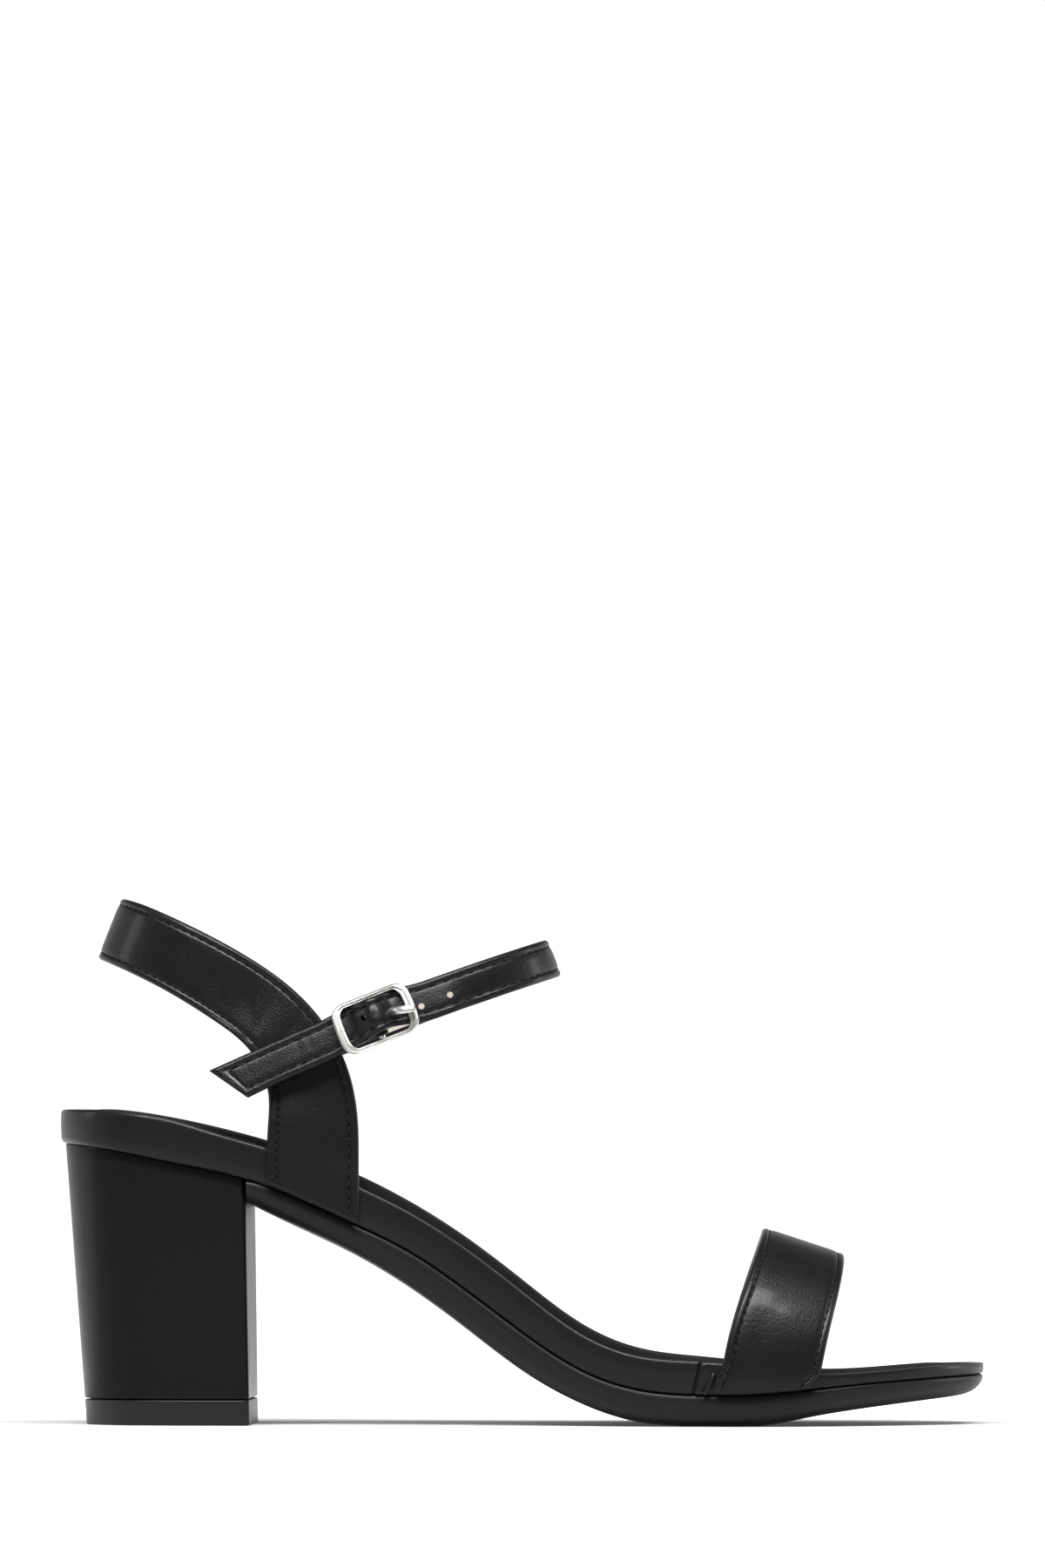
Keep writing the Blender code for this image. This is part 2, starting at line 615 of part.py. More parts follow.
def swept(path_p, path_y, half_w, half_wall, w):
    """Sections of a flat strip of metal or leather along a path in the plane of p and y."""
    p = np.asarray(path_p, float)
    y = np.asarray(path_y, float)
    run_p = np.gradient(p)
    run_y = np.gradient(y)
    length = np.hypot(run_p, run_y)
    off_p = -run_y / length * half_wall
    off_y = run_p / length * half_wall
    ring = []
    for side, edge in ((1, 1), (1, -1), (-1, -1), (-1, 1)):
        ring.append(in_plane(p + side * off_p, w + edge * half_w, y + side * off_y))
    return np.stack(ring, axis=1)


def smooth_path(p, y, count):
    """A smooth curve through a few points in the plane of p and y."""
    run = np.concatenate([[0], np.cumsum(np.hypot(np.diff(p), np.diff(y)))])
    s = np.linspace(0, run[-1], count)
    return spline(run, p)(s), spline(run, y)(s)


def frame_line(turn):
    """The buckle's middle line: a rounded rectangle with its end bars bowed, by angle."""
    c = np.cos(turn)
    s = np.sin(turn)
    flat_p = FRAME_HALF_P - FRAME_CORNER
    flat_w = FRAME_HALF_W - FRAME_CORNER
    p = np.sign(c) * flat_p + FRAME_CORNER * c
    w = np.sign(s) * flat_w + FRAME_CORNER * s
    return p + np.sign(c) * FRAME_BOW * (1 - (w / FRAME_HALF_W) ** 2), w


def make_buckle_frame(finish):
    """The frame, and its centre bar joined to the rails."""
    quarter = np.linspace(0, pi / 2, 6)
    corners = np.concatenate([quarter + k * pi / 2 for k in range(4)])
    nudge = np.tile(np.linspace(1e-6, -1e-6, 6), 4)
    p, w = frame_line(corners + nudge)
    out_p = np.cos(corners)
    out_w = np.sin(corners)
    half = FRAME_RAIL + (FRAME_BAR - FRAME_RAIL) * np.abs(out_p)
    y = FRAME_Y - FRAME_RISE * (p / FRAME_HALF_P) ** 2
    grow = 1 / cos(pi / FRAME_SIDES)
    ring = []
    for turn in np.linspace(0, 2 * pi, FRAME_SIDES, endpoint=False) + pi / FRAME_SIDES:
        side = half * grow * cos(turn)
        depth = FRAME_DEPTH * grow * sin(turn)
        ring.append(in_plane(p + side * out_p, w + side * out_w, y + depth))
    frame = solid("buckle_frame", finish, np.stack(ring, axis=1), closed=True)

    turn = np.linspace(0, 2 * pi, CENTRE_BAR_SIDES, endpoint=False)
    bar_p = CENTRE_BAR_RADIUS * np.cos(turn)
    bar_y = CENTRE_BAR_Y + CENTRE_BAR_RADIUS * np.sin(turn)
    rings = [in_plane(bar_p, np.full_like(turn, end), bar_y) for end in (-FRAME_HALF_W, FRAME_HALF_W)]
    bar = solid("centre_bar", finish, np.stack(rings), start_cap=True, end_cap=True)
    cut(frame, bar, "UNION")


def make_prong(finish):
    """The tongue: an open eye round the centre bar and a shank over the front end bar."""
    turn = np.radians(np.linspace(150, 360, 9))[:-1]
    eye_p = PRONG_EYE * np.cos(turn)
    eye_y = CENTRE_BAR_Y - PRONG_EYE * np.sin(turn)
    rows = columns(PRONG_COLUMNS, PRONG_ROWS)
    hole = HOLE_FIRST + HOLE_STEP * PRONG_HOLE
    rest = FRAME_Y - FRAME_RISE - FRAME_DEPTH - GAP - PRONG_RADIUS
    shank_p = [PRONG_EYE, *(hole + rows["past_hole"]), FRAME_HALF_P + PRONG_PAST]
    shank_y = [CENTRE_BAR_Y, *(CENTRE_BAR_Y + (rest - CENTRE_BAR_Y) * rows["out"]), rest]
    p, y = smooth_path(shank_p, shank_y, 16)
    p = np.append(eye_p, p)
    y = np.append(eye_y, y)
    w = PRONG_W - PRONG_SLANT * np.maximum(p, 0)
    sections = swept(p, y, PRONG_HALF_WIDTH, PRONG_RADIUS, w)
    piece = solid("buckle_prong", finish, sections, start_cap=True, end_cap=True)
    soften(piece, PRONG_ROUND)


def make_tab(finish):
    """The leather loop round the centre bar, from the inner face of the heel strap."""
    rows = columns(TAB_COLUMNS, TAB_ROWS)
    p, y = smooth_path(rows["p"], TAB_INNER + (CENTRE_BAR_Y + TAB_LOOP - TAB_INNER) * rows["out"], 16)
    turn = np.radians(np.linspace(80, -150, 14))
    loop_p = TAB_LOOP * np.cos(turn)
    loop_y = CENTRE_BAR_Y + TAB_LOOP * np.sin(turn)
    sections = swept(np.append(p, loop_p), np.append(y, loop_y), TAB_HALF_WIDTH, TAB_WALL / 2, 0.0)
    tab = solid("buckle_tab", finish, sections, start_cap=True, end_cap=True)
    through = (CENTRE_BAR_Y - 2 * TAB_LOOP, CENTRE_BAR_Y + 2 * TAB_LOOP)
    slot_half = PRONG_HALF_WIDTH + 2 * GAP
    slot = peg("prong_slot", finish, TAB_SLOT_P, PRONG_W, TAB_SLOT, slot_half, through)
    cut(tab, slot, "DIFFERENCE")


for item in list(bpy.data.objects):
    bpy.data.objects.remove(item)

LEATHER = finish_named("black leather")
NICKEL = finish_named("nickel")
make_footbed(LEATHER)
make_insole(finish_named("black sock"))
make_outsole(finish_named("black sole"))
make_heel(LEATHER)
make_heel_tip(finish_named("black rubber"))
make_toe_strap(LEATHER)
make_ankle_upper(LEATHER)
make_buckle_frame(NICKEL)
make_prong(NICKEL)
make_tab(LEATHER)
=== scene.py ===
# %% [markdown]
# # An ankle strap sandal on a block heel
#
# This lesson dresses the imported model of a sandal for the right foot. The model gives every
# piece its place and size. Here each piece is made again as a smooth surface from the same short
# tables of sizes, and it gets the finish that its real material has. Sizes are in millimetres
# until a mesh is made: x runs to the toe, y to the inner side of the foot and z up. The floor is
# z = 0, and the outer side of the shoe, with the buckle, faces the camera.

# %% Load the frame
from math import cos, pi, radians, sin, sqrt, tan

import bmesh
import bpy
import numpy as np
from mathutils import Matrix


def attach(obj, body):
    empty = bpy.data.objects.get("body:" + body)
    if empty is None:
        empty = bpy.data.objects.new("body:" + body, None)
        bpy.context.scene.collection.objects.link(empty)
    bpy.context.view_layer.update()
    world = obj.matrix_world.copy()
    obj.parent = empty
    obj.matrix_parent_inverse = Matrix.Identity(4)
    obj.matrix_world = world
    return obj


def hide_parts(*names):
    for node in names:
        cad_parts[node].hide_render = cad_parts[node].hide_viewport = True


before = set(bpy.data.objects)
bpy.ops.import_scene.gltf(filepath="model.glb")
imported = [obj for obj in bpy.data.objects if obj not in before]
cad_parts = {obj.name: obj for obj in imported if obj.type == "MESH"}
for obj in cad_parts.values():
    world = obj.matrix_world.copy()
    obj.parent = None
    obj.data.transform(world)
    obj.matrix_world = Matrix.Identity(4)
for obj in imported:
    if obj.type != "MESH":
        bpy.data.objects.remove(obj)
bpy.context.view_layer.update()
MM = 0.001
print("nodes:", ", ".join(sorted(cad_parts)))

# %% [markdown]
# ## Tools for shapes
#
# A shoe has hardly any flat face, so every piece is a grid of points: sections along the piece,
# and points round each section. A few measured values become a smooth curve with a natural cubic
# spline, and one function turns a grid into a mesh. Modelling by hand would give the same
# surface, but here a size in a table can be changed and everything follows.


# %% Smooth curves through a few points
def spline(xs, ys):
    """Natural cubic through the points (xs, ys): its second derivative is zero at both ends."""
    xs = np.asarray(xs, float)
    ys = np.asarray(ys, float)
    h = np.diff(xs)
    slope = np.diff(ys) / h
    system = np.eye(len(xs))
    right = np.zeros(len(xs))
    for i in range(1, len(xs) - 1):
        system[i, i - 1:i + 2] = h[i - 1], 2 * (h[i - 1] + h[i]), h[i]
        right[i] = 6 * (slope[i] - slope[i - 1])
    bend = np.linalg.solve(system, right)

    def value(x):
        x = np.asarray(x, float)
        i = np.clip(np.searchsorted(xs, x) - 1, 0, len(h) - 1)
        a = x - xs[i]
        b = xs[i + 1] - x
        cubic = (bend[i] * b ** 3 + bend[i + 1] * a ** 3) / (6 * h[i])
        left = (ys[i] / h[i] - bend[i] * h[i] / 6) * b
        return cubic + left + (ys[i + 1] / h[i] - bend[i + 1] * h[i] / 6) * a

    return value


def ease(share):
    """A smooth step of a share s: 3 s^2 - 2 s^3, held at 0 below 0 and at 1 above 1."""
    share = np.clip(share, 0, 1)
    return share ** 2 * (3 - 2 * share)


def columns(names, rows):
    """The rows' columns by name."""
    return dict(zip(names, np.array(rows, float).T))


def smooth(rows, count, weights):
    """The rows resampled on a spline by their distance apart, with a weight for each column."""
    rows = np.array(rows, float)
    step = np.linalg.norm(np.diff(rows, axis=0) * weights, axis=1)
    run = np.concatenate([[0], np.cumsum(step)])
    places = np.linspace(0, run[-1], count)
    return np.stack([spline(run, column)(places) for column in rows.T])


# %% From a grid of points to a piece
MERGE = 0.002             # mm within which points are one point


def close_seams(mesh):
    """Merges points that lie in one place and turns all faces outwards."""
    form = bmesh.new()
    form.from_mesh(mesh)
    bmesh.ops.remove_doubles(form, verts=form.verts, dist=MERGE * MM)
    bmesh.ops.recalc_face_normals(form, faces=form.faces)
    form.to_mesh(mesh)
    form.free()
    mesh.shade_smooth()


def skin(name, grid, finishes, node=None, loop=False, caps=False, lined=None, marks=None, crisp=180):
    """A mesh through a grid of sections by points by xyz.

    Point j of a section joins point j + 1 and the same two points of the next section in a quad,
    and each section closes on itself. loop closes the row of sections too, and caps fills the
    first and the last one. lined says which columns of quads take the second finish, and edges
    sharper than crisp degrees stay crisp. marks are values per point that a finish may read. They
    are stored on face corners, because a Boolean carries corner values over to the faces it cuts.
    """
    sections, around = grid.shape[:2]
    index = np.arange(sections * around).reshape(sections, around)
    beyond = np.roll(index, -1, axis=0)
    quads = np.stack([index, np.roll(index, -1, axis=1), np.roll(beyond, -1, axis=1), beyond], axis=-1)
    quads = quads if loop else quads[:-1]
    faces = quads.reshape(-1, 4).tolist()
    if caps:
        faces += [index[0, ::-1].tolist(), index[-1].tolist()]
    mesh = bpy.data.meshes.new(name)
    mesh.from_pydata((grid.reshape(-1, 3) * MM).tolist(), [], faces)
    for finish in finishes:
        mesh.materials.append(finish)
    if lined is not None:
        second = np.zeros(len(faces), int)
        second[:quads[..., 0].size] = np.broadcast_to(lined, quads.shape[:2]).ravel()
        mesh.polygons.foreach_set("material_index", second)
    corner = np.empty(len(mesh.loops), int)
    mesh.loops.foreach_get("vertex_index", corner)
    for mark, values in (marks or {}).items():
        layer = mesh.attributes.new(mark, "FLOAT", "CORNER")
        layer.data.foreach_set("value", np.broadcast_to(values, grid.shape[:2]).ravel()[corner].astype(float))
    close_seams(mesh)
    if crisp < 180:
        mesh.set_sharp_from_angle(angle=radians(crisp))
    return settle(name, mesh, node)


def settle(name, mesh, node=None):
    """The object of a mesh, on the shoe's one body, standing for its node of the model."""
    piece = bpy.data.objects.new(name, mesh)
    bpy.context.scene.collection.objects.link(piece)
    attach(piece, "root")
    if node:
        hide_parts(node)
    print(f"{name}: {len(mesh.vertices)} points, {len(mesh.polygons)} faces")
    return piece


# %% [markdown]
# ## Tools for finishes
#
# A finish is a small network of nodes round one Principled shader. Patterns read the piece's own
# coordinates in millimetres, so that a grain of half a millimetre is half a millimetre on every
# piece: Object coordinates on the sole and heel, and along and across values stored on a strap,
# so that its wrinkles follow it round the foot.


# %% Colours and nodes
def linear(colour):
    """An sRGB hex colour as linear red, green, blue and alpha."""
    value = np.array([int(colour[i:i + 2], 16) for i in (1, 3, 5)]) / 255
    value = np.where(value <= 0.04045, value / 12.92, ((value + 0.055) / 1.055) ** 2.4)
    return (*value.tolist(), 1.0)


def add(tree, kind, links=None, **settings):
    """A node with its settings. links gives inputs a value, or the output they are joined to."""
    made = tree.nodes.new("ShaderNode" + kind)
    for key, value in settings.items():
        setattr(made, key, value)
    for key, value in (links or {}).items():
        if isinstance(value, bpy.types.NodeSocket):
            tree.links.new(value, made.inputs[key])
        else:
            made.inputs[key].default_value = value
    return made


def principled(name, colour, roughness, metallic=0.0):
    """A material with one Principled shader, as (material, node tree, shader)."""
    material = bpy.data.materials.new(name)
    material.use_nodes = True
    shader = material.node_tree.nodes["Principled BSDF"]
    shader.inputs["Base Color"].default_value = linear(colour)
    shader.inputs["Roughness"].default_value = roughness
    shader.inputs["Metallic"].default_value = metallic
    return material, material.node_tree, shader


def in_millimetres(tree):
    """Object coordinates in millimetres."""
    place = add(tree, "TexCoord").outputs["Object"]
    return add(tree, "Mapping", {"Vector": place, "Scale": (1 / MM,) * 3}).outputs["Vector"]


def along_strap(tree):
    """How far along and across a strap a point lies, in millimetres, as a vector."""
    along = add(tree, "Attribute", attribute_name="along").outputs["Fac"]
    across = add(tree, "Attribute", attribute_name="across").outputs["Fac"]
    return add(tree, "CombineXYZ", {"X": along, "Y": across}).outputs["Vector"]


# %% [markdown]
# ## Black leather
#
# The straps, the rand and the heel are covered with one thin coated leather: black, smooth, with
# a satin coat that breaks a highlight into fine sparks. Under the coat lies a pebble grain of
# about half a millimetre, and where a strap was pulled round the last the grain is drawn out
# into slanting wrinkles. Both are bump, because they are finer than a mesh should be. Where a
# strap is handled most, fingers polish the coat, so it is stronger and clearer there.

# %% Leather for straps, rand and heel
PEBBLE = 0.62             # mm from pebble to pebble, slightly coarse so that it shows
WRINKLE = (0.72, 0.42)    # mm along and across one wrinkle, drawn coarser than real ones
WRINKLE_SLANT = radians(32)
WRINKLE_DEPTH = 0.14      # mm where a strap's worn value is 1
LEATHER_ROUGH = (0.38, 0.52)
COAT_ROUGH = (0.14, 0.08)   # of the coat where it is satin and where it is polished
POLISH = 0.42             # weight of the coat where it is polished
HANDLED = (0.6, 2.4)      # worn values between which satin turns to polish


def leather(name, coordinates, gloss, coat, grain, worn):
    """Black coated leather: specular level, weight of its clear coat, and the pebbles' depth in mm.

    worn adds the wrinkles and the polish of a strap, where its worn value says so.
    """
    material, tree, shader = principled(name, "#060607", 0.3)
    shader.inputs["Specular IOR Level"].default_value = gloss
    shader.inputs["Coat Weight"].default_value = coat
    shader.inputs["Coat Roughness"].default_value = COAT_ROUGH[0]
    place = coordinates(tree)
    drift = add(tree, "TexNoise", {"Vector": place, "Scale": 0.9 / PEBBLE, "Detail": 2.0})
    bent = add(tree, "VectorMath", {0: place, 1: drift.outputs["Color"]}, operation="ADD")
    pebble = add(tree, "TexVoronoi", {"Vector": bent.outputs["Vector"], "Scale": 1 / PEBBLE},
                 feature="SMOOTH_F1")
    bump = add(tree, "Bump", {"Height": pebble.outputs["Distance"], "Strength": 1.0,
                              "Distance": -grain * MM})
    if worn:
        turned = add(tree, "Mapping", {"Vector": place, "Rotation": (0, 0, WRINKLE_SLANT),
                                       "Scale": (1 / WRINKLE[0], 1 / WRINKLE[1], 1)})
        folds = add(tree, "TexNoise", {"Vector": turned.outputs["Vector"], "Scale": 1.0, "Detail": 2.0,
                                       "Roughness": 0.5})
        wear = add(tree, "Attribute", attribute_name="worn").outputs["Fac"]
        height = add(tree, "Math", {0: folds.outputs["Fac"], 1: wear}, operation="MULTIPLY")
        bump = add(tree, "Bump", {"Height": height.outputs["Value"], "Strength": 1.0,
                                  "Distance": WRINKLE_DEPTH * MM, "Normal": bump.outputs["Normal"]})
        for socket, satin, polished in (("Coat Weight", coat, POLISH), ("Coat Roughness", *COAT_ROUGH)):
            turn = add(tree, "MapRange", {"Value": wear, "From Min": HANDLED[0], "From Max": HANDLED[1],
                                          "To Min": satin, "To Max": polished})
            tree.links.new(turn.outputs["Result"], shader.inputs[socket])
    tree.links.new(bump.outputs["Normal"], shader.inputs["Normal"])
    patches = add(tree, "TexNoise", {"Vector": place, "Scale": 0.11, "Detail": 3.0})
    uneven = add(tree, "MapRange", {"Value": patches.outputs["Fac"], "To Min": LEATHER_ROUGH[0],
                                    "To Max": LEATHER_ROUGH[1]})
    tree.links.new(uneven.outputs["Result"], shader.inputs["Roughness"])
    return material


STRAP_LEATHER = leather("black coated leather, straps", along_strap, 0.2, 0.12, 0.08, worn=True)
RAND_LEATHER = leather("black coated leather, rand", in_millimetres, 0.22, 0.13, 0.045, worn=False)
HEEL_LEATHER = leather("black coated leather, heel", in_millimetres, 0.05, 0.2, 0.035, worn=False)
print("leather: pebbles of", PEBBLE, "mm, wrinkles of", WRINKLE, "mm")

# %% [markdown]
# ## Lining, sock, sole, rubber, thread and metal
#
# The inner faces of the straps have a pale, dull lining, which shows through the punched holes.
# The sock is a soft coated fabric with fine pores. The sole is moulded, a little lighter than the
# leather and satin. Thread is dull black polyester, and the buckle is bright nickel. All but the
# nickel have their own fine bump, since even a plain surface breaks up the light a little; the
# nickel's roughness varies in patches instead.


# %% Plain finishes with a fine texture
def textured(name, colour, roughness, gloss, size, depth):
    """A dull finish whose bump is noise with grains of a size in mm and a depth in mm."""
    material, tree, shader = principled(name, colour, roughness)
    shader.inputs["Specular IOR Level"].default_value = gloss
    grains = add(tree, "TexNoise", {"Vector": in_millimetres(tree), "Scale": 1 / size, "Detail": 2.0})
    bump = add(tree, "Bump", {"Height": grains.outputs["Fac"], "Strength": 1.0, "Distance": depth * MM})
    tree.links.new(bump.outputs["Normal"], shader.inputs["Normal"])
    return material


LINING = textured("pale strap lining", "#b9b3aa", 0.75, 0.2, 0.8, 0.04)
SOCK = textured("black sock lining", "#0e0e0f", 0.8, 0.08, 0.7, 0.05)
SOLE = textured("black moulded sole", "#111111", 0.42, 0.22, 1.1, 0.03)
RUBBER = textured("black hard rubber", "#141414", 0.4, 0.3, 0.9, 0.03)
THREAD = textured("black polyester thread", "#060606", 0.6, 0.1, 0.35, 0.05)
# The needle hole finish is painted shade: near-black ovals stand in for the shadow inside each hole.
NEEDLE_HOLE_SHADE = principled("painted shade of needle hole", "#020202", 0.9)[0]


# %% Nickel
def nickel():
    """Nickel plate, tumbled to a soft mirror: patches of 0.7 mm spread a highlight unevenly."""
    material, tree, shader = principled("bright nickel plate", "#d3d2cf", 0.25, 1.0)
    patches = add(tree, "TexNoise", {"Vector": in_millimetres(tree), "Scale": 1.4, "Detail": 2.0})
    spread = add(tree, "MapRange", {"Value": patches.outputs["Fac"], "To Min": 0.3, "To Max": 0.42})
    tree.links.new(spread.outputs["Result"], shader.inputs["Roughness"])
    return material


NICKEL = nickel()
print("materials:", len(bpy.data.materials))

# %% [markdown]
# ## The last
#
# Sole, footbed and insole follow one form, the last. The table gives its half widths on either
# side and the heights of four lines seen from the side. The plan is an ellipse multiplied by a
# smooth fullness, which keeps heel and toe round without a corner where the two sides meet.

# %% Sizes of the last
GAP = 0.3                 # clearance between pieces that touch
HALF_LENGTH = 120.0
HEEL_RADIUS = 27.0
TOE_RADIUS = 23.0
TOE_SWING = 6.0           # how far the toe tip turns to the inner side
TREAD = (40.0, 60.0)      # the flat of the forefoot that stands on the floor
LAST_COLUMNS = ("x", "lateral", "medial", "bed", "ridge", "seam", "ground")
LAST = columns(LAST_COLUMNS, (
    (-120, 0.0, 0.0, 81.6, 80.6, 72.9, 80.0),
    (-105, 24.0, 23.4, 81.0, 79.9, 70.6, 73.3),
    (-90, 27.8, 27.0, 78.8, 77.7, 67.5, 66.4),
    (-75, 28.8, 27.2, 75.4, 74.0, 64.3, 59.3),
    (-60, 28.8, 26.2, 71.0, 69.4, 59.2, 51.9),
    (-45, 28.4, 24.6, 65.1, 62.8, 52.5, 44.8),
    (-30, 28.2, 23.2, 57.6, 55.5, 45.2, 36.0),
    (-15, 28.9, 22.8, 48.2, 46.1, 35.2, 25.2),
    (0, 30.9, 24.2, 36.9, 34.7, 24.0, 14.0),
    (15, 34.2, 27.6, 25.8, 23.8, 14.4, 5.7),
    (30, 38.0, 32.0, 19.3, 18.1, 9.4, 1.0),
    (45, 41.0, 35.8, 17.1, 16.8, 8.1, 0.0),
    (60, 41.8, 37.6, 15.5, 15.3, 8.2, 0.0),
    (75, 39.9, 37.0, 13.8, 13.7, 9.6, 2.5),
    (90, 34.7, 33.2, 14.1, 14.0, 11.0, 4.7),
    (105, 25.6, 25.0, 15.3, 15.2, 12.1, 6.4),
    (120, 0.0, 0.0, 16.0, 15.9, 13.0, 7.8),
))
bed, ridge, seam, underside = (spline(LAST["x"], LAST[name]) for name in LAST_COLUMNS[3:])


# %% Plan and heights of the last
def fullness(side):
    """Half width divided by that of an ellipse, as a smooth function of x."""
    inner = slice(1, -1)
    ellipse = np.sqrt(1 - (LAST["x"][inner] / HALF_LENGTH) ** 2)
    ends = sqrt(HEEL_RADIUS * HALF_LENGTH), sqrt(TOE_RADIUS * HALF_LENGTH)
    return spline(LAST["x"], [ends[0], *(LAST[side][inner] / ellipse), ends[1]])


FULL = {-1: fullness("lateral"), 1: fullness("medial")}


def ground(x):
    """Height of the outsole's underside: the curve of the table, flat along the tread."""
    standing = (x >= TREAD[0]) & (x <= TREAD[1])
    return np.where(standing, 0.0, np.maximum(underside(x), 0.0))


def axis(x):
    """The y of the sole's middle line, which turns to the inner side at the toe."""
    return TOE_SWING * ((x + HALF_LENGTH) / (2 * HALF_LENGTH)) ** 3


def plan(theta, side):
    """Point of the rand's outline: theta is 0 at the heel's back and pi at the toe tip."""
    x = -HALF_LENGTH * np.cos(theta)
    return x, axis(x) + side * np.sin(theta) * FULL[side](x)


def inset_plan(theta, side, inset):
    """The outline moved inwards, square to itself."""
    step = 1e-4
    x0, y0 = plan(theta - step, side)
    x1, y1 = plan(theta + step, side)
    run = np.hypot(x1 - x0, y1 - y0)
    x, y = plan(theta, side)
    return x + side * inset * (y1 - y0) / run, y - side * inset * (x1 - x0) / run


def half_width(x, side):
    """The outline's y at x, on one side."""
    return plan(np.arccos(-np.clip(x / HALF_LENGTH, -1, 1)), side)[1]


def plate(theta, profile, top, bottom, across, crown=0.0):
    """Sections of a plate, one for each theta: down the outer edge, under, up the inner, over.

    The profile's rows are an inset from the outline, a share of the way from top to bottom and a
    lift. The top is spanned between the first points of both edges, with a crown in the middle.
    """
    inset, share, lift = profile
    blend = np.linspace(0, 1, across + 1)[1:-1]

    def edge(side):
        x, y = inset_plan(theta[:, None], side, inset)
        return np.stack([x, y, top(x) + (bottom(x) - top(x)) * share + lift], axis=-1)

    def span(start, end, height, swell):
        points = start[:, None] + (end - start)[:, None] * blend[:, None]
        width = np.clip(np.abs(end - start)[:, None, 1] / HEEL_RADIUS, 0, 1)
        points[..., 2] = height(points[..., 0]) + swell * width * 4 * blend * (1 - blend)
        return points

    outer = edge(-1)
    inner = edge(1)
    under = span(outer[:, -1], inner[:, -1], lambda x: bottom(x) + lift[-1], 0.0)
    over = span(inner[:, 0], outer[:, 0], lambda x: top(x) + lift[0], crown)
    return np.concatenate([outer, under, inner[:, ::-1], over], axis=1)


print("widest:", round(float(np.max(half_width(LAST["x"], 1) - half_width(LAST["x"], -1))), 1), "mm")

# %% [markdown]
# ## Footbed and rand
#
# The footbed is a board wrapped in leather. Its side shows all round the shoe as the rand: a
# rounded shoulder that catches a thin streak of light, a nearly upright side, and a lower edge
# that turns in to the dark seam over the sole. It could be a flat plate with a bevel, but the
# streak needs a true curve, so the edge is a smooth profile carried round the outline.

# %% Footbed
RAND_ROWS = (
    (2.3, 0.0, -2.0), (2.25, 0.0, -1.1), (2.0, 0.0, -0.25), (1.4, 0.0, 0.0), (0.75, 0.005, 0.0),
    (0.32, 0.03, 0.0), (0.1, 0.075, 0.0), (0.0, 0.15, 0.0), (-0.05, 0.35, 0.0), (0.0, 0.62, 0.0),
    (0.08, 0.8, 0.0), (0.28, 0.91, 0.0), (0.75, 0.975, 0.0), (2.6, 1.0, 0.0),
)
HEEL_RIM = 0.9            # how far the rand stands higher round the heel seat
HEEL_RIM_FROM = -75.0     # where it begins to rise, and over what length
HEEL_RIM_RUN = 20.0
RAND_THICK = 9.0          # about the rand's height, which spaces the points of its profile
SLIT_X = 45.2             # where its cover laps over itself, behind the toe strap's outer foot
SLIT_Z = 16.0
SLIT_SLANT = 0.22
SLIT_DEPTH = 0.7
SLIT_WIDTH = 0.32
LAP_HEIGHT = 0.35         # how far the lap stands out in front of the slit
LAP_AT = 1.3
LAP_RUN = 0.9


def rand_top(x):
    """Height of the rand's upper edge: the ridge, and a little more round the heel seat."""
    return ridge(x) + HEEL_RIM * ease((HEEL_RIM_FROM - x) / HEEL_RIM_RUN)


theta = np.sort(np.append(np.linspace(0, pi, 261), np.arccos(-np.linspace(41, 49, 48) / HALF_LENGTH)))
profile = smooth(RAND_ROWS, 44, (1, RAND_THICK, 1))
grid = plate(theta, profile, rand_top, seam, 12)
x, y, z = np.moveaxis(grid, -1, 0)
slit = x - SLIT_X - SLIT_SLANT * (z - SLIT_Z)
lap = LAP_HEIGHT * np.exp(-((slit - LAP_AT) / LAP_RUN) ** 2)
depth = SLIT_DEPTH * np.exp(-(slit / SLIT_WIDTH) ** 2) - lap
outer_side = np.clip(-(y + 30) / 5, 0, 1)
below_shoulder = np.clip((ridge(x) + 0.3 - z) / 1.2, 0, 1)
grid[..., 1] += depth * outer_side * below_shoulder
skin("footbed_rand", grid, [RAND_LEATHER], "footbed")

# %% [markdown]
# ## Rolled lip
#
# In front of that slit the end of the rand's cover is turned over into a small lip, which runs
# down to the sole. It could be pushed out of the rand's own grid, but that grid is too coarse for
# a roll of 1.6 mm. A short tube with round ends, half sunk into the rand, gives the same form.

# %% Rolled lip behind the toe strap
LIP_LINE = ((48.9, 13.9), (47.8, 11.0), (46.2, 8.2))   # x and z, downwards
LIP_RADIUS = 0.8
LIP_OUT = 0.35            # how far its middle lies outside the rand
k = np.linspace(0, 1, 26)
x, z = (spline((0, 0.5, 1), np.array(LIP_LINE)[:, i])(k) for i in (0, 1))
line = np.stack([x, half_width(x, -1) - LIP_OUT, z], axis=-1)
ahead = np.gradient(line, axis=0)
ahead /= np.linalg.norm(ahead, axis=-1, keepdims=True)
beside = np.cross(ahead, (0.0, -1.0, 0.0))
turn = np.linspace(0, 2 * pi, 14, endpoint=False)
ring = np.cos(turn)[:, None] * np.array((0.0, -1.0, 0.0)) + np.sin(turn)[:, None] * beside[:, None]
radius = LIP_RADIUS * np.sqrt(np.clip(np.minimum(k * 5, (1 - k) * 9) + 0.04, 0, 1))
grid = line[:, None] + ring * radius[:, None, None]
skin("rand_lip", grid, [RAND_LEATHER], caps=True)

# %% [markdown]
# ## Insole
#
# The sock on the footbed is a thin foam pad under a soft cover. It is slightly crowned, and its
# edge rolls down into the rand. A shallow pressed line follows the edge, as the cover is
# heat-set on its foam there.

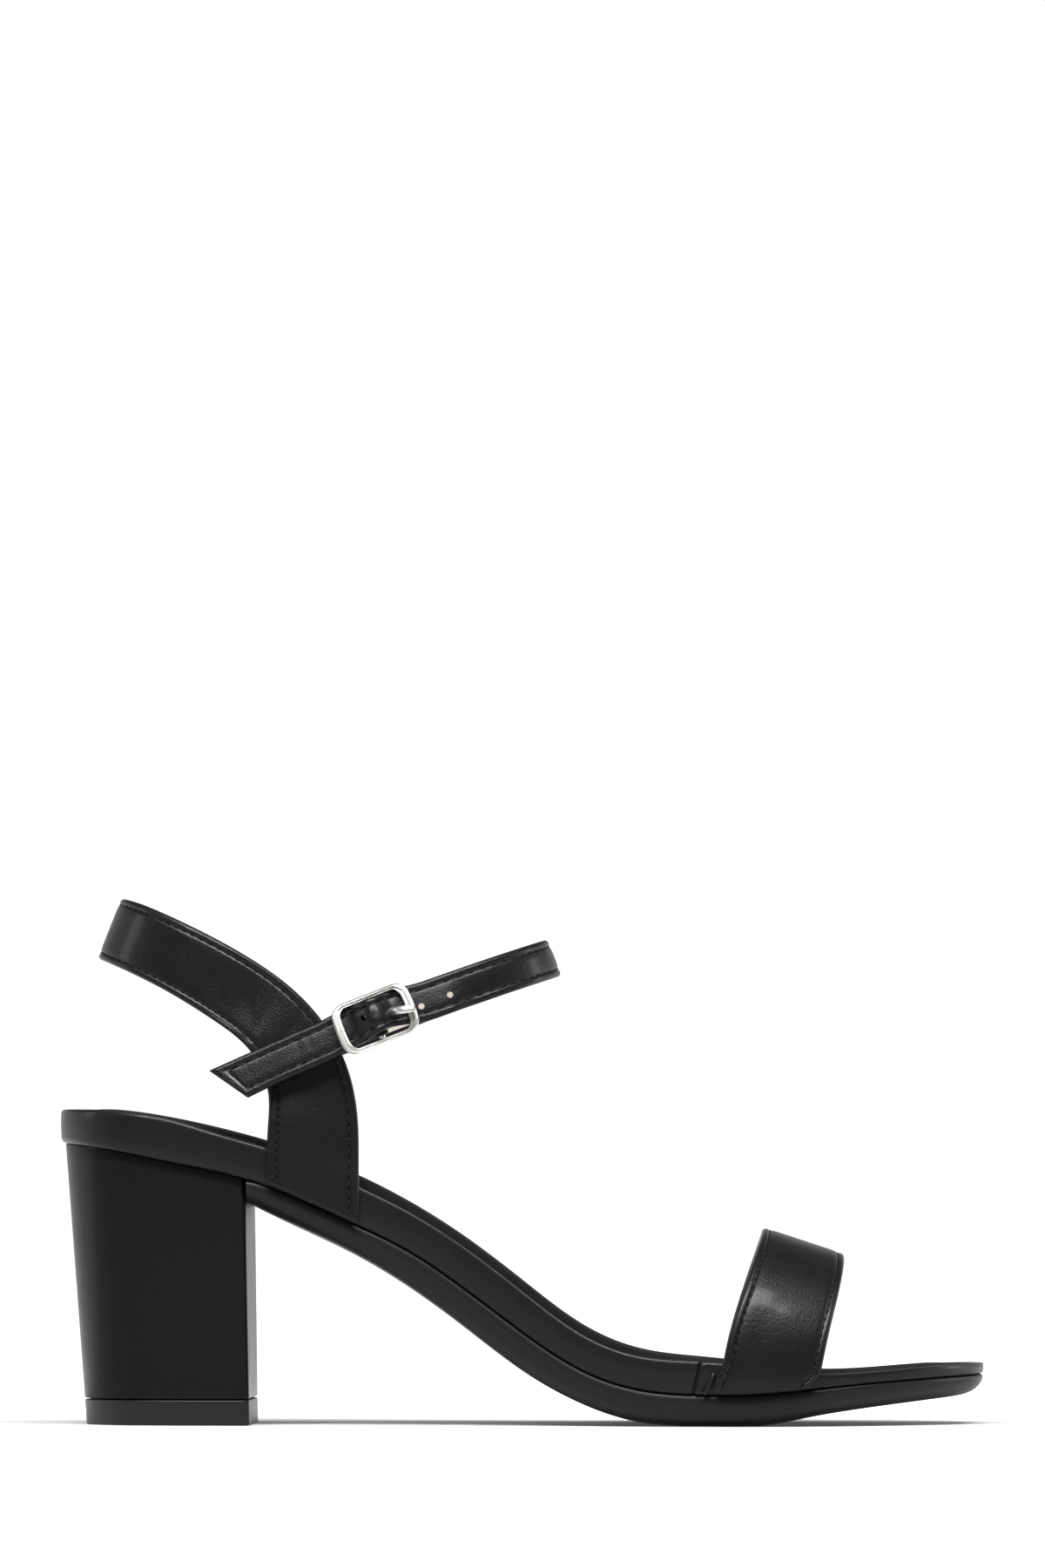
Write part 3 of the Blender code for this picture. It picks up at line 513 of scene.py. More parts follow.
# %% Insole
INSOLE_ROWS = (
    (9.0, 0.0, 0.0), (7.4, 0.0, -0.03), (6.6, 0.0, -0.22), (5.8, 0.0, -0.05), (4.6, 0.06, 0.0),
    (3.4, 0.22, 0.0), (2.7, 0.5, 0.0), (2.5, 0.78, 0.0), (2.8, 1.0, 0.0),
)
theta = np.linspace(0, pi, 221)
profile = smooth(INSOLE_ROWS, 40, (1, 3, 1))
insole = skin("insole_sock", plate(theta, profile, bed, lambda x: ridge(x) - 0.9, 24, crown=0.5), [SOCK],
              "insole")

# %% [markdown]
# ## Outsole
#
# The sole is moulded in one piece from the heel breast to the toe. Its side is round, so light
# fades from its upper half down to a dark underside, and it is flat only where it stands. The
# same function that made the rand makes it, with another profile that stands a little further
# out at the toe, where the seam between the two is tight.

# %% Outsole
HEEL_FRONT = -71.0        # the heel's breast at the seat, on the shoe's axis
HEEL_BREAST_SLANT = 1.3   # how much further forward it stands at the floor
HEEL_TURN = tan(radians(1.0))
HEEL_HEIGHT = 72.0
SEAM_TIGHT = 0.5          # how much further out its upper edge stands at the toe, for a tight seam
TIGHT_FROM = 70.0
TIGHT_RUN = 18.0
TIGHT_SHARE = 0.3         # how far down the side that reaches, as a share of its height
OUTSOLE_ROWS = (
    (2.4, 0.0, 0.0), (1.2, 0.01, 0.0), (0.85, 0.05, 0.0), (0.6, 0.13, 0.0), (0.5, 0.3, 0.0), (1.1, 0.55, 0.0),
    (2.6, 0.78, 0.0), (5.0, 0.94, 0.0), (8.5, 1.0, 0.0),
)


def breast(y, z):
    """The x of the heel's front face: it turns a little outwards and leans forward below."""
    return HEEL_FRONT + HEEL_TURN * y + HEEL_BREAST_SLANT * (1 - z / HEEL_HEIGHT)


front = breast(half_width(HEEL_FRONT, 1), ground(HEEL_FRONT)) + GAP
theta = np.sort(np.append(np.linspace(np.arccos(-front / HALF_LENGTH), pi, 221),
                          [np.arccos(-x / HALF_LENGTH) for x in TREAD]))
inset, share, lift = smooth(OUTSOLE_ROWS, 36, (1, RAND_THICK, 1))
tight = np.clip((-HALF_LENGTH * np.cos(theta) - TIGHT_FROM) / TIGHT_RUN, 0, 1)[:, None]
inset = inset - SEAM_TIGHT * tight * np.exp(-(share / TIGHT_SHARE) ** 2)
grid = plate(theta, (inset, share, lift), lambda x: seam(x) - 0.02, ground, 16)
grid[0, :, 0] = breast(grid[0, :, 1], grid[0, :, 2]) + GAP
skin("outsole_moulded", grid, [SOLE], "outsole", caps=True, crisp=50)

# %% [markdown]
# ## Heel and top piece
#
# The block heel is a D in plan: the last's outline, drawn in towards the floor, closed by a
# nearly flat breast. The real one is a hard block covered in leather, so its corners are round
# by the leather's thickness. The rounding is part of the outline here, because a bevel on so
# fine a mesh would be cut short by its own narrow faces.

# %% Heel
HEEL_INSET = 1.3
HEEL_TAPER = 3.4
HEEL_BACK_SLANT = 2.4
TIP_HEIGHT = 6.5
CORNER = 2.0              # radius of the upright corners at the breast
HEEL_EDGE = 0.4           # radius of its upper and lower rims


def heel_ring(height, shrink):
    """The heel's D at a height given as a function of x, drawn in by shrink on every side.

    The sides are the last's outline moved inwards. Each breast corner is a parabola from the
    side to the breast with the corner as its control point.
    """
    theta_end = float(np.arccos(-(HEEL_FRONT - CORNER) / HALF_LENGTH))
    theta = np.append(np.linspace(0, theta_end, 60), np.arccos(-HEEL_FRONT / HALF_LENGTH))

    def edge(side, share, z):
        x, y = inset_plan(theta, side, HEEL_INSET + HEEL_TAPER * share + shrink)
        face = breast(y, z) - shrink
        slant = HEEL_BACK_SLANT * share * (face - x) / (face + HALF_LENGTH)
        return np.append(np.minimum(x + slant, face - CORNER)[:-1], face[-1]), y

    t = np.linspace(0, 1, 8)[1:, None]
    half = []
    for side in (-1, 1):
        x, y = edge(side, 0.0, HEEL_HEIGHT)
        z = height(x)
        x, y = edge(side, 1 - z / HEEL_HEIGHT, z)
        points = np.stack([x, y, z], axis=-1)
        start = points[-2]
        corner = points[-1]
        inner = corner * (1, 1 - CORNER / abs(corner[1]), 1)
        arc = start * (1 - t) ** 2 + corner * 2 * t * (1 - t) + inner * t ** 2
        half.append(np.concatenate([points[:-1], arc]))
    across = np.linspace(0, 1, 14)[1:-1, None]
    flat = half[1][-1] + (half[0][-1] - half[1][-1]) * across
    return np.concatenate([half[0][::-1], half[1][1:], flat])


def heel_block(base, top, edge, rows):
    """Rings from base to top, heights as functions of x, with their rims rounded by edge mm."""
    turn = np.linspace(0, pi / 2, 6)
    rim = edge * (1 - np.sin(turn))
    rise = edge * (1 - np.cos(turn))
    low = [heel_ring(lambda x, r=r: base(x) + r, s) for r, s in zip(rise, rim)]
    mid = [heel_ring(lambda x, k=k: base(x) + edge + (top(x) - base(x) - 2 * edge) * k, 0.0)
           for k in np.linspace(0, 1, rows)[1:-1]]
    high = [heel_ring(lambda x, r=r: top(x) - r, s) for r, s in zip(rise[::-1], rim[::-1])]
    return np.stack(low + mid + high)


def level(z):
    """A height that is the same everywhere."""
    return lambda x: np.full_like(np.asarray(x, float), z)


skin("heel_block", heel_block(level(TIP_HEIGHT + GAP), lambda x: seam(x) - 0.02, HEEL_EDGE, 24),
     [HEEL_LEATHER], "heel", caps=True)
skin("heel_top_piece", heel_block(level(0.0), level(TIP_HEIGHT), HEEL_EDGE, 6), [RUBBER],
     "heel_tip", caps=True)

# %% [markdown]
# ## Straps
#
# A strap is a band of leather folded over its lining and sewn 2 mm inside both edges. Its middle
# surface is a function of how far along and across a point lies. The section laid on it is an
# oval with round folded edges. The sewn line pulls a fine groove into the face and leaves the
# fold beside it plump, and creases are soft troughs listed one by one.

# %% Section of a strap
STITCH_IN = 2.0           # mm from the edge to the sewn line
GROOVE = 0.32             # depth of the groove along it
FOLD = 0.04               # how far the folded edge stands out
PUFF = 0.14               # how far the panel between the sewn lines stands out


def strap_section(half, wall, fine=0.2, coarse=0.7):
    """Points round a strap: place across in mm, offset from the middle surface, 1 on the face."""
    radius = wall / 2
    lane = half - radius
    sewn = min(3.6, lane - 0.4)
    near = np.arange(0, sewn, fine)
    middle = np.linspace(-lane + sewn, lane - sewn, max(int((lane - sewn) * 2 / coarse), 2))
    face = np.concatenate([-lane + near, middle, (lane - near)[::-1]])
    back = np.linspace(lane, -lane, 22)
    turn = np.radians(np.linspace(90, -90, 11)[1:-1])
    place = np.concatenate([face, lane + radius * np.cos(turn), back, -lane - radius * np.cos(turn)])
    offset = np.concatenate([np.full(len(face), radius), radius * np.sin(turn),
                             np.full(len(back), -radius), -radius * np.sin(turn)])
    facing = np.concatenate([np.ones(len(face)), np.zeros(len(place) - len(face))])
    return place, offset, facing


def sewn_face(from_edge):
    """Relief of a strap's face: the sewn groove, the fold outside it and the padded panel inside."""
    groove = -GROOVE * np.exp(-((from_edge - STITCH_IN) / 0.3) ** 2)
    fold = FOLD * np.exp(-((from_edge - 1.05) / 0.55) ** 2)
    panel = PUFF * (1 - np.exp(-(np.maximum(from_edge - STITCH_IN, 0) / 1.2) ** 2))
    return groove + fold + panel


def trough(along, across, at, lie, turn, size, depth):
    """A soft crease: a bell-shaped trough of size (length, width) at a place, turned by degrees."""
    c, s = cos(radians(turn)), sin(radians(turn))
    u = (along - at) * c + (across - lie) * s
    w = (across - lie) * c - (along - at) * s
    return -depth * np.exp(-(u / size[0]) ** 2 - (w / size[1]) ** 2)


# %% A strap laid on its surface
def outwards(surface, t, v, out):
    """Unit normal of a surface of t and v, turned to the outside by the sign out."""
    step = 1e-4
    along = surface(t + step, v) - surface(t - step, v)
    over = surface(t, v + step) - surface(t, v - step)
    normal = np.cross(along, over)
    return out * normal / np.linalg.norm(normal, axis=-1, keepdims=True)


class Strap:
    """A strap's surface(t, v), the length that t covers, its half width, wall and creases.

    tip is the slope of a free end that is folded and sewn like the edges, or 0.
    """

    def __init__(self, surface, length, half, wall, out, creases=(), worn=None, tip=0.0):
        self.surface, self.length, self.half, self.wall = surface, length, half, wall
        self.out, self.creases, self.worn, self.tip = out, creases, worn, tip

    def relief(self, t, v):
        """How far the face stands out from the plain wall."""
        along, across = t * self.length, v * self.half
        inside = self.half - np.abs(across)
        if self.tip:
            inside = np.minimum(inside, along * self.tip)
        height = sewn_face(inside)
        for crease in self.creases:
            height = height + trough(along, across, *crease)
        return height

    def face(self, t, v):
        """Point and normal on the face."""
        normal = outwards(self.surface, t, v, self.out)
        rise = self.wall / 2 + self.relief(t, v)
        return self.surface(t, v) + normal * rise[..., None], normal

    def make(self, name, node, count, ends=(True, True)):
        """The piece: the section at each t, drawn together at a rounded end."""
        place, offset, facing = strap_section(self.half, self.wall)
        radius = self.wall / 2
        fillet = radius * (1 - np.cos(np.linspace(0, pi / 2, 6))) / self.length
        t = np.concatenate([fillet, np.linspace(fillet[-1], 1 - fillet[-1], count)[1:-1], 1 - fillet[::-1]])
        t, v = np.meshgrid(t, place / self.half, indexing="ij")
        from_end = np.minimum(t if ends[0] else 1.0, 1 - t if ends[1] else 1.0) * self.length / radius
        swell = np.sqrt(1 - (1 - np.clip(from_end, 0, 1)) ** 2)
        rise = (offset + self.relief(t, v) * facing) * swell
        points = self.surface(t, v) + outwards(self.surface, t, v, self.out) * rise[..., None]
        lined = (np.arange(len(place)) >= facing.sum() + 9) & (np.arange(len(place)) < len(place) - 10)
        marks = {"along": t * self.length, "across": v * self.half}
        calm = np.clip((self.half - np.abs(v) * self.half - 2.2) / 1.5, 0, 1)
        marks["worn"] = self.worn(t * self.length, v * self.half) * calm
        return skin(name, points, [STRAP_LEATHER, LINING], node, caps=True, lined=lined,
                    marks=marks)


print("sewn line", STITCH_IN, "mm inside the edges")

# %% [markdown]
# ## Toe strap
#
# The broad band over the toes springs from both sides of the rand, leans forward and falls
# towards the toe. A squarish arch joins its feet: cosine for the reach to the side, sine for the
# rise, both to a power just under one.

# %% Surface of the toe strap
STRAP_WALL = 2.0
FOOT_CLEAR = 0.4
TOE_STRAP = columns(("share", "x", "half"), (
    (0.0, 59.9, 11.5), (0.14, 63.3, 12.5), (0.22, 66.3, 12.0), (0.29, 68.9, 11.5),
    (0.41, 71.7, 10.8), (0.5, 72.2, 10.6),
))
TOE_STRAP_FOOT = 0.14
TOE_STRAP_SKEW = 3.0
TOE_STRAP_TOP = 47.66
TOE_STRAP_FALL = 0.33
TOE_STRAP_SHOULDER = 2.15
TOE_STRAP_SPRING = 1.5
TOE_STRAP_CURL = 0.6
TOE_STRAP_CURL_RUN = 0.38


def mirrored(name):
    """A column of the toe strap's table as a function of the share from foot to foot."""
    share = np.concatenate([TOE_STRAP["share"], 1 - TOE_STRAP["share"][-2::-1]])
    return spline(share, np.concatenate([TOE_STRAP[name], TOE_STRAP[name][-2::-1]]))


toe_strap_middle = mirrored("x")
toe_strap_half = mirrored("half")


def toe_strap_surface(t, v):
    """Middle surface: t from the outer foot to the inner one, v from the rear edge to the front."""
    share = np.clip((t - TOE_STRAP_FOOT) / (1 - 2 * TOE_STRAP_FOOT), 0, 1)
    power = 2 / TOE_STRAP_SHOULDER
    rise = np.abs(np.sin(pi * share)) ** power
    reach = np.abs(np.cos(pi * share)) ** power
    x = toe_strap_middle(t) + TOE_STRAP_SKEW * t ** 2 + v * toe_strap_half(t)
    clear = GAP + STRAP_WALL / 2
    side = np.where(share < 0.5, half_width(x, -1) - clear, half_width(x, 1) + clear)
    y = axis(x) + (side - axis(x)) * reach
    top = TOE_STRAP_TOP - TOE_STRAP_FALL * (x - TOE_STRAP["x"][-1]) - STRAP_WALL / 2
    base = ridge(x) - TOE_STRAP_SPRING
    below = np.clip(1 - np.minimum(t, 1 - t) / TOE_STRAP_FOOT, 0, None)
    z = base + (top - base) * rise - below * (base - seam(x) - FOOT_CLEAR)
    curl = TOE_STRAP_CURL * np.clip(1 - (1 - below) / TOE_STRAP_CURL_RUN, 0, None) ** 2
    return np.stack([x, y - np.sign(y) * curl, z], axis=-1)


# %% Toe strap
FOOT_SOFT = 2.2           # mm over which the strap turns smoothly at the top of the rand
TOE_STRAP_FACE = 12.0     # half the width of its section
SHOULDER_AT = 27.0        # mm from a foot to the middle of the shoulder above it
SHOULDER_RUN = 11.0


def even(surface, count=1200):
    """The surface again, with t in step with the length along its middle line, as (surface, mm)."""
    t = np.linspace(0, 1, count)
    line = surface(t, np.zeros(count))
    run = np.concatenate([[0], np.cumsum(np.linalg.norm(np.diff(line, axis=0), axis=1))])
    return lambda s, v: surface(np.interp(s, run / run[-1], t), v), float(run[-1])


def softened(surface, length, reach):
    """The surface averaged with itself up to reach mm along, which rounds any sharp turn."""
    shifts = np.linspace(-reach, reach, 7) / length
    return lambda t, v: sum(surface(np.clip(t + shift, 0, 1), v) for shift in shifts) / len(shifts)


def toe_worn(along, across):
    """Wrinkles are strongest on both shoulders of the strap, as a bell-shaped curve on either."""
    outer = np.exp(-((along - SHOULDER_AT) / SHOULDER_RUN) ** 2)
    inner = np.exp(-((along - toe_length + SHOULDER_AT) / SHOULDER_RUN) ** 2)
    return 0.1 + 0.5 * outer + 0.5 * inner


toe_surface, toe_length = even(toe_strap_surface)
toe = Strap(
    softened(toe_surface, toe_length, FOOT_SOFT), toe_length, TOE_STRAP_FACE, STRAP_WALL, -1, worn=toe_worn,
    creases=((22.0, -3.0, 20, (9.0, 2.4), 0.06), (31.0, 4.0, 24, (8.0, 2.2), 0.05)),
)
toe.make("toe_strap_band", "toe_strap", 290)

# %% [markdown]
# ## Heel strap
#
# This strap rises from both sides of the rand, bends backwards at the ankle and runs round the
# back of the heel. The table gives both edges as seen from the side and how far the middle lies
# from the shoe's axis. Splines along both edges, joined by straight lines across, make the
# surface. The model's plain band stands a little off the narrowing rand at its feet. Real leather
# is lasted tight against it, so the feet are drawn in here.

# %% Surface of the heel strap
HEEL_STRAP = columns(("front_x", "front_z", "rear_x", "rear_z", "lateral", "medial"), (
    (-42.1, 51.5, -65.8, 62.0, 29.9, 27.8),
    (-42.0, 55.0, -65.7, 65.0, 30.3, 28.2),
    (-42.0, 66.0, -65.5, 74.4, 30.2, 28.2),
    (-42.5, 81.0, -65.2, 84.0, 28.9, 27.8),
    (-46.0, 94.5, -67.0, 91.0, 27.9, 27.5),
    (-54.8, 107.8, -71.2, 97.5, 27.3, 27.1),
    (-70.5, 120.2, -80.3, 104.6, 25.6, 25.4),
    (-88.5, 129.9, -93.3, 112.5, 20.2, 20.2),
    (-99.2, 134.7, -104.8, 118.2, 11.6, 11.6),
    (-103.4, 136.2, -109.6, 120.4, 0.0, 0.0),
))
FOOT_RUN = 16.0           # mm above the rand over which the strap comes free of it
MEDIAL_BACK = 1.6
MEDIAL_RISE = 1.8


def heel_strap_edges():
    """Both edges from the outer foot over the back to the inner foot, and the run along them."""
    share = HEEL_STRAP["medial"] / HEEL_STRAP["medial"].max()
    edges = {}
    for end in ("front", "rear"):
        x, z = HEEL_STRAP[end + "_x"], HEEL_STRAP[end + "_z"]
        outer = np.stack([x, -HEEL_STRAP["lateral"], z], axis=-1)
        inner = np.stack([x - MEDIAL_BACK * share, HEEL_STRAP["medial"], z + MEDIAL_RISE * share], axis=-1)
        edges[end] = np.concatenate([outer, inner[-2::-1]])
    middle = (edges["front"] + edges["rear"]) / 2
    return edges, np.concatenate([[0], np.cumsum(np.linalg.norm(np.diff(middle, axis=0), axis=1))])


edges, heel_run = heel_strap_edges()
edge_curves = {end: [spline(heel_run / heel_run[-1], edges[end][:, k]) for k in range(3)] for end in edges}


def heel_strap_surface(t, v):
    """Middle surface: t from the outer foot to the inner one, v from the rear edge to the front.

    Its feet are drawn in to lie on the rand, which narrows forwards, and come free of it above.
    """
    front, rear = (np.stack([curve(t) for curve in edge_curves[end]], axis=-1) for end in ("front", "rear"))
    points = rear + (front - rear) * ((1 + v) / 2)[..., None]
    x, y, z = np.moveaxis(points, -1, 0)
    clear = GAP + STRAP_WALL / 2
    side = np.where(y < 0, half_width(x, -1) - clear, half_width(x, 1) + clear)
    y = y + (side - y) * ease((ridge(x) + FOOT_RUN - z) / FOOT_RUN)
    return np.stack([x, y, z], axis=-1)


foot_x = np.array((-65.0, -54.0, -43.0))
print("rand beside the outer foot, y in mm:", np.round(half_width(foot_x, -1), 1))
print("and beside the inner foot:", np.round(half_width(foot_x, 1), 1))


# %% Heel strap
BEND = heel_run[5]        # mm along it where it passes under the ankle strap
HEEL_STRAP_FACE = 9.4     # half the width of its section


def heel_worn(along, across):
    """Wrinkles gather where the strap bends, on both sides of the heel."""
    inner = heel_run[-1] - BEND
    return 0.05 + 1.6 * np.exp(-((along - BEND - 4) / 9) ** 2) + 0.8 * np.exp(-((along - inner) / 13) ** 2)


heel_band = Strap(heel_strap_surface, heel_run[-1], HEEL_STRAP_FACE, STRAP_WALL, -1, worn=heel_worn, creases=(
    (BEND + 11, -1.0, 0, (7.0, 9.0), 0.9),
    (BEND + 3, -4.5, 62, (5.0, 1.1), 0.5), (BEND + 6.5, -3.0, 52, (6.0, 1.0), 0.48),
    (BEND + 10, -1.0, 44, (7.0, 1.2), 0.36), (BEND - 2, 3.0, 70, (5.0, 1.2), 0.26),
    (BEND + 5, 1.5, 66, (5.0, 1.1), 0.36), (BEND + 16, -3.0, 36, (6.0, 1.4), 0.2),
))
heel_band.make("heel_strap_band", "ankle_upper", 400)

# %% [markdown]
# ## Ankle strap
#
# The narrow strap lies in one tilted plane. From its slanted tip it runs over the heel strap and
# the buckle's centre bar, round the front of the ankle in half an ellipse, and back to the inner
# side, where it is sewn down. Places on it are given as p, forwards from the buckle's centre, and
# w across it. The model's band stands upright. A leg is more like a cone, so here the outer side
# leans in towards it with the buckle, and the strap is drawn up between the buckle's rails.

# %% Surface of the ankle strap
BUCKLE_X = -37.6
BUCKLE_Z = 103.9
PITCH = radians(21.6)
ANKLE_WALL = 1.8
ANKLE_WIDTH = 10.2
ANKLE_TIP = -41.2
ANKLE_TIP_SKEW = 3.4
ANKLE_SKEW_RUN = 14.0
ANKLE_LATERAL = -29.5
ANKLE_MEDIAL = 28.7
ANKLE_TURN = 4.0
ANKLE_FRONT = 47.7
ANKLE_MEDIAL_END = -21.0
ANKLE_SAG = 1.3
ANKLE_LEAN = 0.3          # slope of the outer side towards the leg, as on a cone
LEAN_FROM = 25.5          # the lean begins this far from the axis
LEAN_RUN = 3.0            # and is full this much further out
BULGE = 3.3
BULGE_RUN = 3.6
PINCH = 0.5               # half of what it loses in width beside the prong
PINCH_AT = 2.5
PINCH_RUN = 5.0
LIFT = 0.95               # how far it is drawn up, against the frame's upper rail
LIFT_RUN = 11.0
CROWN = 0.9               # how far its middle stands out over the bar


def in_plane(p, w, y):
    """The point at p along the strap's plane and w across the strap, at a given y.

    On the outer side it moves out below the strap's upper edge, so that the strap leans inwards.
    """
    x = BUCKLE_X + p * cos(PITCH) - w * sin(PITCH)
    z = BUCKLE_Z + p * sin(PITCH) + w * cos(PITCH)
    lean = ANKLE_LEAN * ease((-y - LEAN_FROM) / LEAN_RUN) * (ANKLE_WIDTH / 2 - w)
    return np.stack(np.broadcast_arrays(x, y - lean, z), axis=-1)


def ankle_arc():
    """Length given to the front's half ellipse, by the usual estimate of an ellipse's girth."""
    a = ANKLE_FRONT - ANKLE_TURN
    b = (ANKLE_MEDIAL - ANKLE_LATERAL) / 2
    return pi / 2 * (3 * (a + b) - sqrt((3 * a + b) * (a + 3 * b)))


ANKLE_LENGTH = ANKLE_TURN - ANKLE_TIP + ankle_arc() + ANKLE_TURN - ANKLE_MEDIAL_END


def ankle_strap_surface(t, v):
    """Middle surface: t from the tip to the sewn end, v upwards across the strap."""
    s = t * ANKLE_LENGTH
    half = (ANKLE_MEDIAL - ANKLE_LATERAL) / 2
    run = ANKLE_TURN - ANKLE_TIP
    angle = np.clip((s - run) / ankle_arc(), 0, 1) * pi - pi / 2
    past = np.maximum(s - run - ankle_arc(), 0)
    p = np.minimum(s + ANKLE_TIP, ANKLE_TURN) + (ANKLE_FRONT - ANKLE_TURN) * np.cos(angle) - past
    y = (ANKLE_MEDIAL + ANKLE_LATERAL) / 2 + half * np.sin(angle)
    outer = y < 0
    over_bar = np.exp(-(p / BULGE_RUN) ** 2) * outer
    y = y - BULGE * over_bar
    slant = np.clip(1 - s / ANKLE_SKEW_RUN, 0, None) ** 1.5
    sag = ANKLE_SAG * (p / ANKLE_TIP) ** 2
    pinch = PINCH * np.exp(-((p - PINCH_AT) / PINCH_RUN) ** 2) * outer
    lift = LIFT * np.exp(-(p / LIFT_RUN) ** 4) * outer
    y = y - CROWN * (1 - v ** 2) * over_bar
    w = v * (ANKLE_WIDTH / 2 - pinch) + pinch + lift - sag
    points = in_plane(p - ANKLE_TIP_SKEW * slant * v, w, y)
    points[..., 2] += MEDIAL_RISE * (y - ANKLE_LATERAL) / (2 * half)
    return points


# %% Ankle strap and its holes
HOLES = ((-2.6, 1.7), (5.0, 0.8), (12.2, -0.9), (20.1, -0.8))   # p and w of each
HOLE_RADIUS = 0.8
PRONG_STRETCH = 1.15      # how much longer the prong has drawn its own hole
TIP_SLOPE = 0.83          # how far inside the slanted tip's edge a point lies, per mm along
RIM_ANGLE = 50            # degrees


def ankle_worn(along, across):
    """The free tip is handled most, and the strap is creased where it bends over the bar."""
    tip = 2.6 * np.exp(-((along - 11) / 15) ** 2)
    return 0.12 + tip + 0.4 * np.exp(-((along + ANKLE_TIP) / 9) ** 2)


def pierce(piece, rings):
    """Cuts a tube through the piece: a Boolean whose result becomes the piece's own mesh.

    Its rims are made crisp, so that the walls of the hole don't darken the face round it.
    """
    mesh = bpy.data.meshes.new("tube")
    around = len(rings[0])
    side = [(i, (i + 1) % around, around + (i + 1) % around, around + i) for i in range(around)]
    mesh.from_pydata((np.concatenate(rings) * MM).tolist(), [],
                     side + [tuple(range(around))[::-1], tuple(range(around, 2 * around))])
    close_seams(mesh)
    tube = bpy.data.objects.new("tube", mesh)
    bpy.context.scene.collection.objects.link(tube)
    cut = piece.modifiers.new("hole", "BOOLEAN")
    cut.operation = "DIFFERENCE"
    cut.solver = "EXACT"
    cut.object = tube
    bpy.context.view_layer.update()
    whole = bpy.data.meshes.new_from_object(piece.evaluated_get(bpy.context.evaluated_depsgraph_get()))
    whole.set_sharp_from_angle(angle=radians(RIM_ANGLE))
    piece.modifiers.clear()
    piece.data = whole
    bpy.data.objects.remove(tube)


ankle = Strap(
    ankle_strap_surface, ANKLE_LENGTH, ANKLE_WIDTH / 2, ANKLE_WALL, 1, worn=ankle_worn, tip=TIP_SLOPE,
    creases=(
        (6.5, -0.8, 82, (2.6, 0.9), 0.1), (13.0, 0.6, 66, (2.8, 1.1), 0.12),
        (20.0, -0.2, 80, (3.8, 0.9), 0.2), (23.4, 0.9, 98, (2.2, 0.7), 0.1),
        (29.0, -0.4, 70, (3.0, 1.2), 0.12),
    ),
)
ankle_strap = ankle.make("ankle_strap_band", "ankle_upper", 430)
turn = np.linspace(0, 2 * pi, 20, endpoint=False)
for p, w in HOLES:
    stretch = PRONG_STRETCH if p == HOLES[1][0] else 1.0
    ring_p = p + HOLE_RADIUS * stretch * np.cos(turn)
    ring_w = w + HOLE_RADIUS * np.sin(turn)
    pierce(ankle_strap, [in_plane(ring_p, ring_w, np.full(20, y)) for y in (-36.0, -24.0)])
print("holes:", len(HOLES))

# %% [markdown]
# ## Stitches
#
# Each stitch is a short arch of thread that comes out of one needle hole and goes into the next.
# All the stitches of a strap are worked out at once: stations along every stitch, lifted by a sine
# and pulled under at both ends, with a ring of six points at each station. A near-black oval at
# each end is painted shade, standing in for the shadow inside the needle hole.

# %% Sewing
THREAD_RADIUS = 0.23
STATIONS = np.linspace(0, 1, 7)
STITCH_FROM = 0.13        # where a stitch starts in its pitch, and how much of it the stitch takes
STITCH_SHARE = 0.74
STITCH_RISE = 0.30        # height of its arch, and how deep its ends are pulled in
STITCH_SUNK = 0.22
NEEDLE_SHADE_OVAL = (0.78, 0.42)   # half length and half width of the painted shade oval at each needle hole


def sew(name, strap, line, count):
    """Stitches along line(k), which gives t and v for k from 0 to 1 along the sewn line."""
    start = np.arange(count)[:, None] / count
    k = start + (STITCH_FROM + STITCH_SHARE * STATIONS) / count
    t, v = line(k)
    points, normal = strap.face(t, v)
    arch = np.sin(pi * STATIONS)
    points = points + normal * (STITCH_RISE * arch - STITCH_SUNK)[:, None]
    run = np.gradient(points, axis=1)
    run /= np.linalg.norm(run, axis=-1, keepdims=True)
    beside = np.cross(run, normal)
    turn = np.linspace(0, 2 * pi, 6, endpoint=False)
    radius = THREAD_RADIUS * np.sqrt(np.clip(arch, 0, 1) * 0.75 + 0.25) * (arch > 1e-6)
    ring = normal[:, :, None] * np.cos(turn)[:, None] + beside[:, :, None] * np.sin(turn)[:, None]
    grid = points[:, :, None] + ring * radius[:, None, None]
    beads(name + "_thread", grid, THREAD)
    # Near-black ovals at the needle holes: painted shade for the shadow inside each hole.
    holes, lift = strap.face(*line(np.append(start[:, 0], 1.0)))
    along = np.gradient(holes, axis=0)
    along /= np.linalg.norm(along, axis=-1, keepdims=True)
    turn = np.linspace(0, 2 * pi, 10, endpoint=False)[:, None]
    across = np.cross(lift, along)[:, None]
    oval = NEEDLE_SHADE_OVAL[0] * np.cos(turn) * along[:, None] + NEEDLE_SHADE_OVAL[1] * np.sin(turn) * across
    rings = np.stack([holes[:, None] + oval + lift[:, None] * h for h in (0.05, -0.25)], axis=1)
    beads(name + "_needle_hole_shade", rings, NEEDLE_HOLE_SHADE)


def beads(name, grid, finish):
    """One mesh of many small closed grids: an array of beads by sections by points by xyz."""
    count, sections, around = grid.shape[:3]
    index = np.arange(sections * around).reshape(sections, around)
    beyond = np.roll(index, -1, axis=1)
    quads = np.stack([index[:-1], beyond[:-1], beyond[1:], index[1:]], axis=-1).reshape(-1, 4)
    offset = np.arange(count) * sections * around
    faces = (quads + offset[:, None, None]).reshape(-1, 4).tolist()
    for cap in (index[0, ::-1], index[-1]):
        faces += (cap + offset[:, None]).tolist()
    mesh = bpy.data.meshes.new(name)
    mesh.from_pydata((grid.reshape(-1, 3) * MM).tolist(), [], faces)
    mesh.materials.append(finish)
    close_seams(mesh)
    return settle(name, mesh)


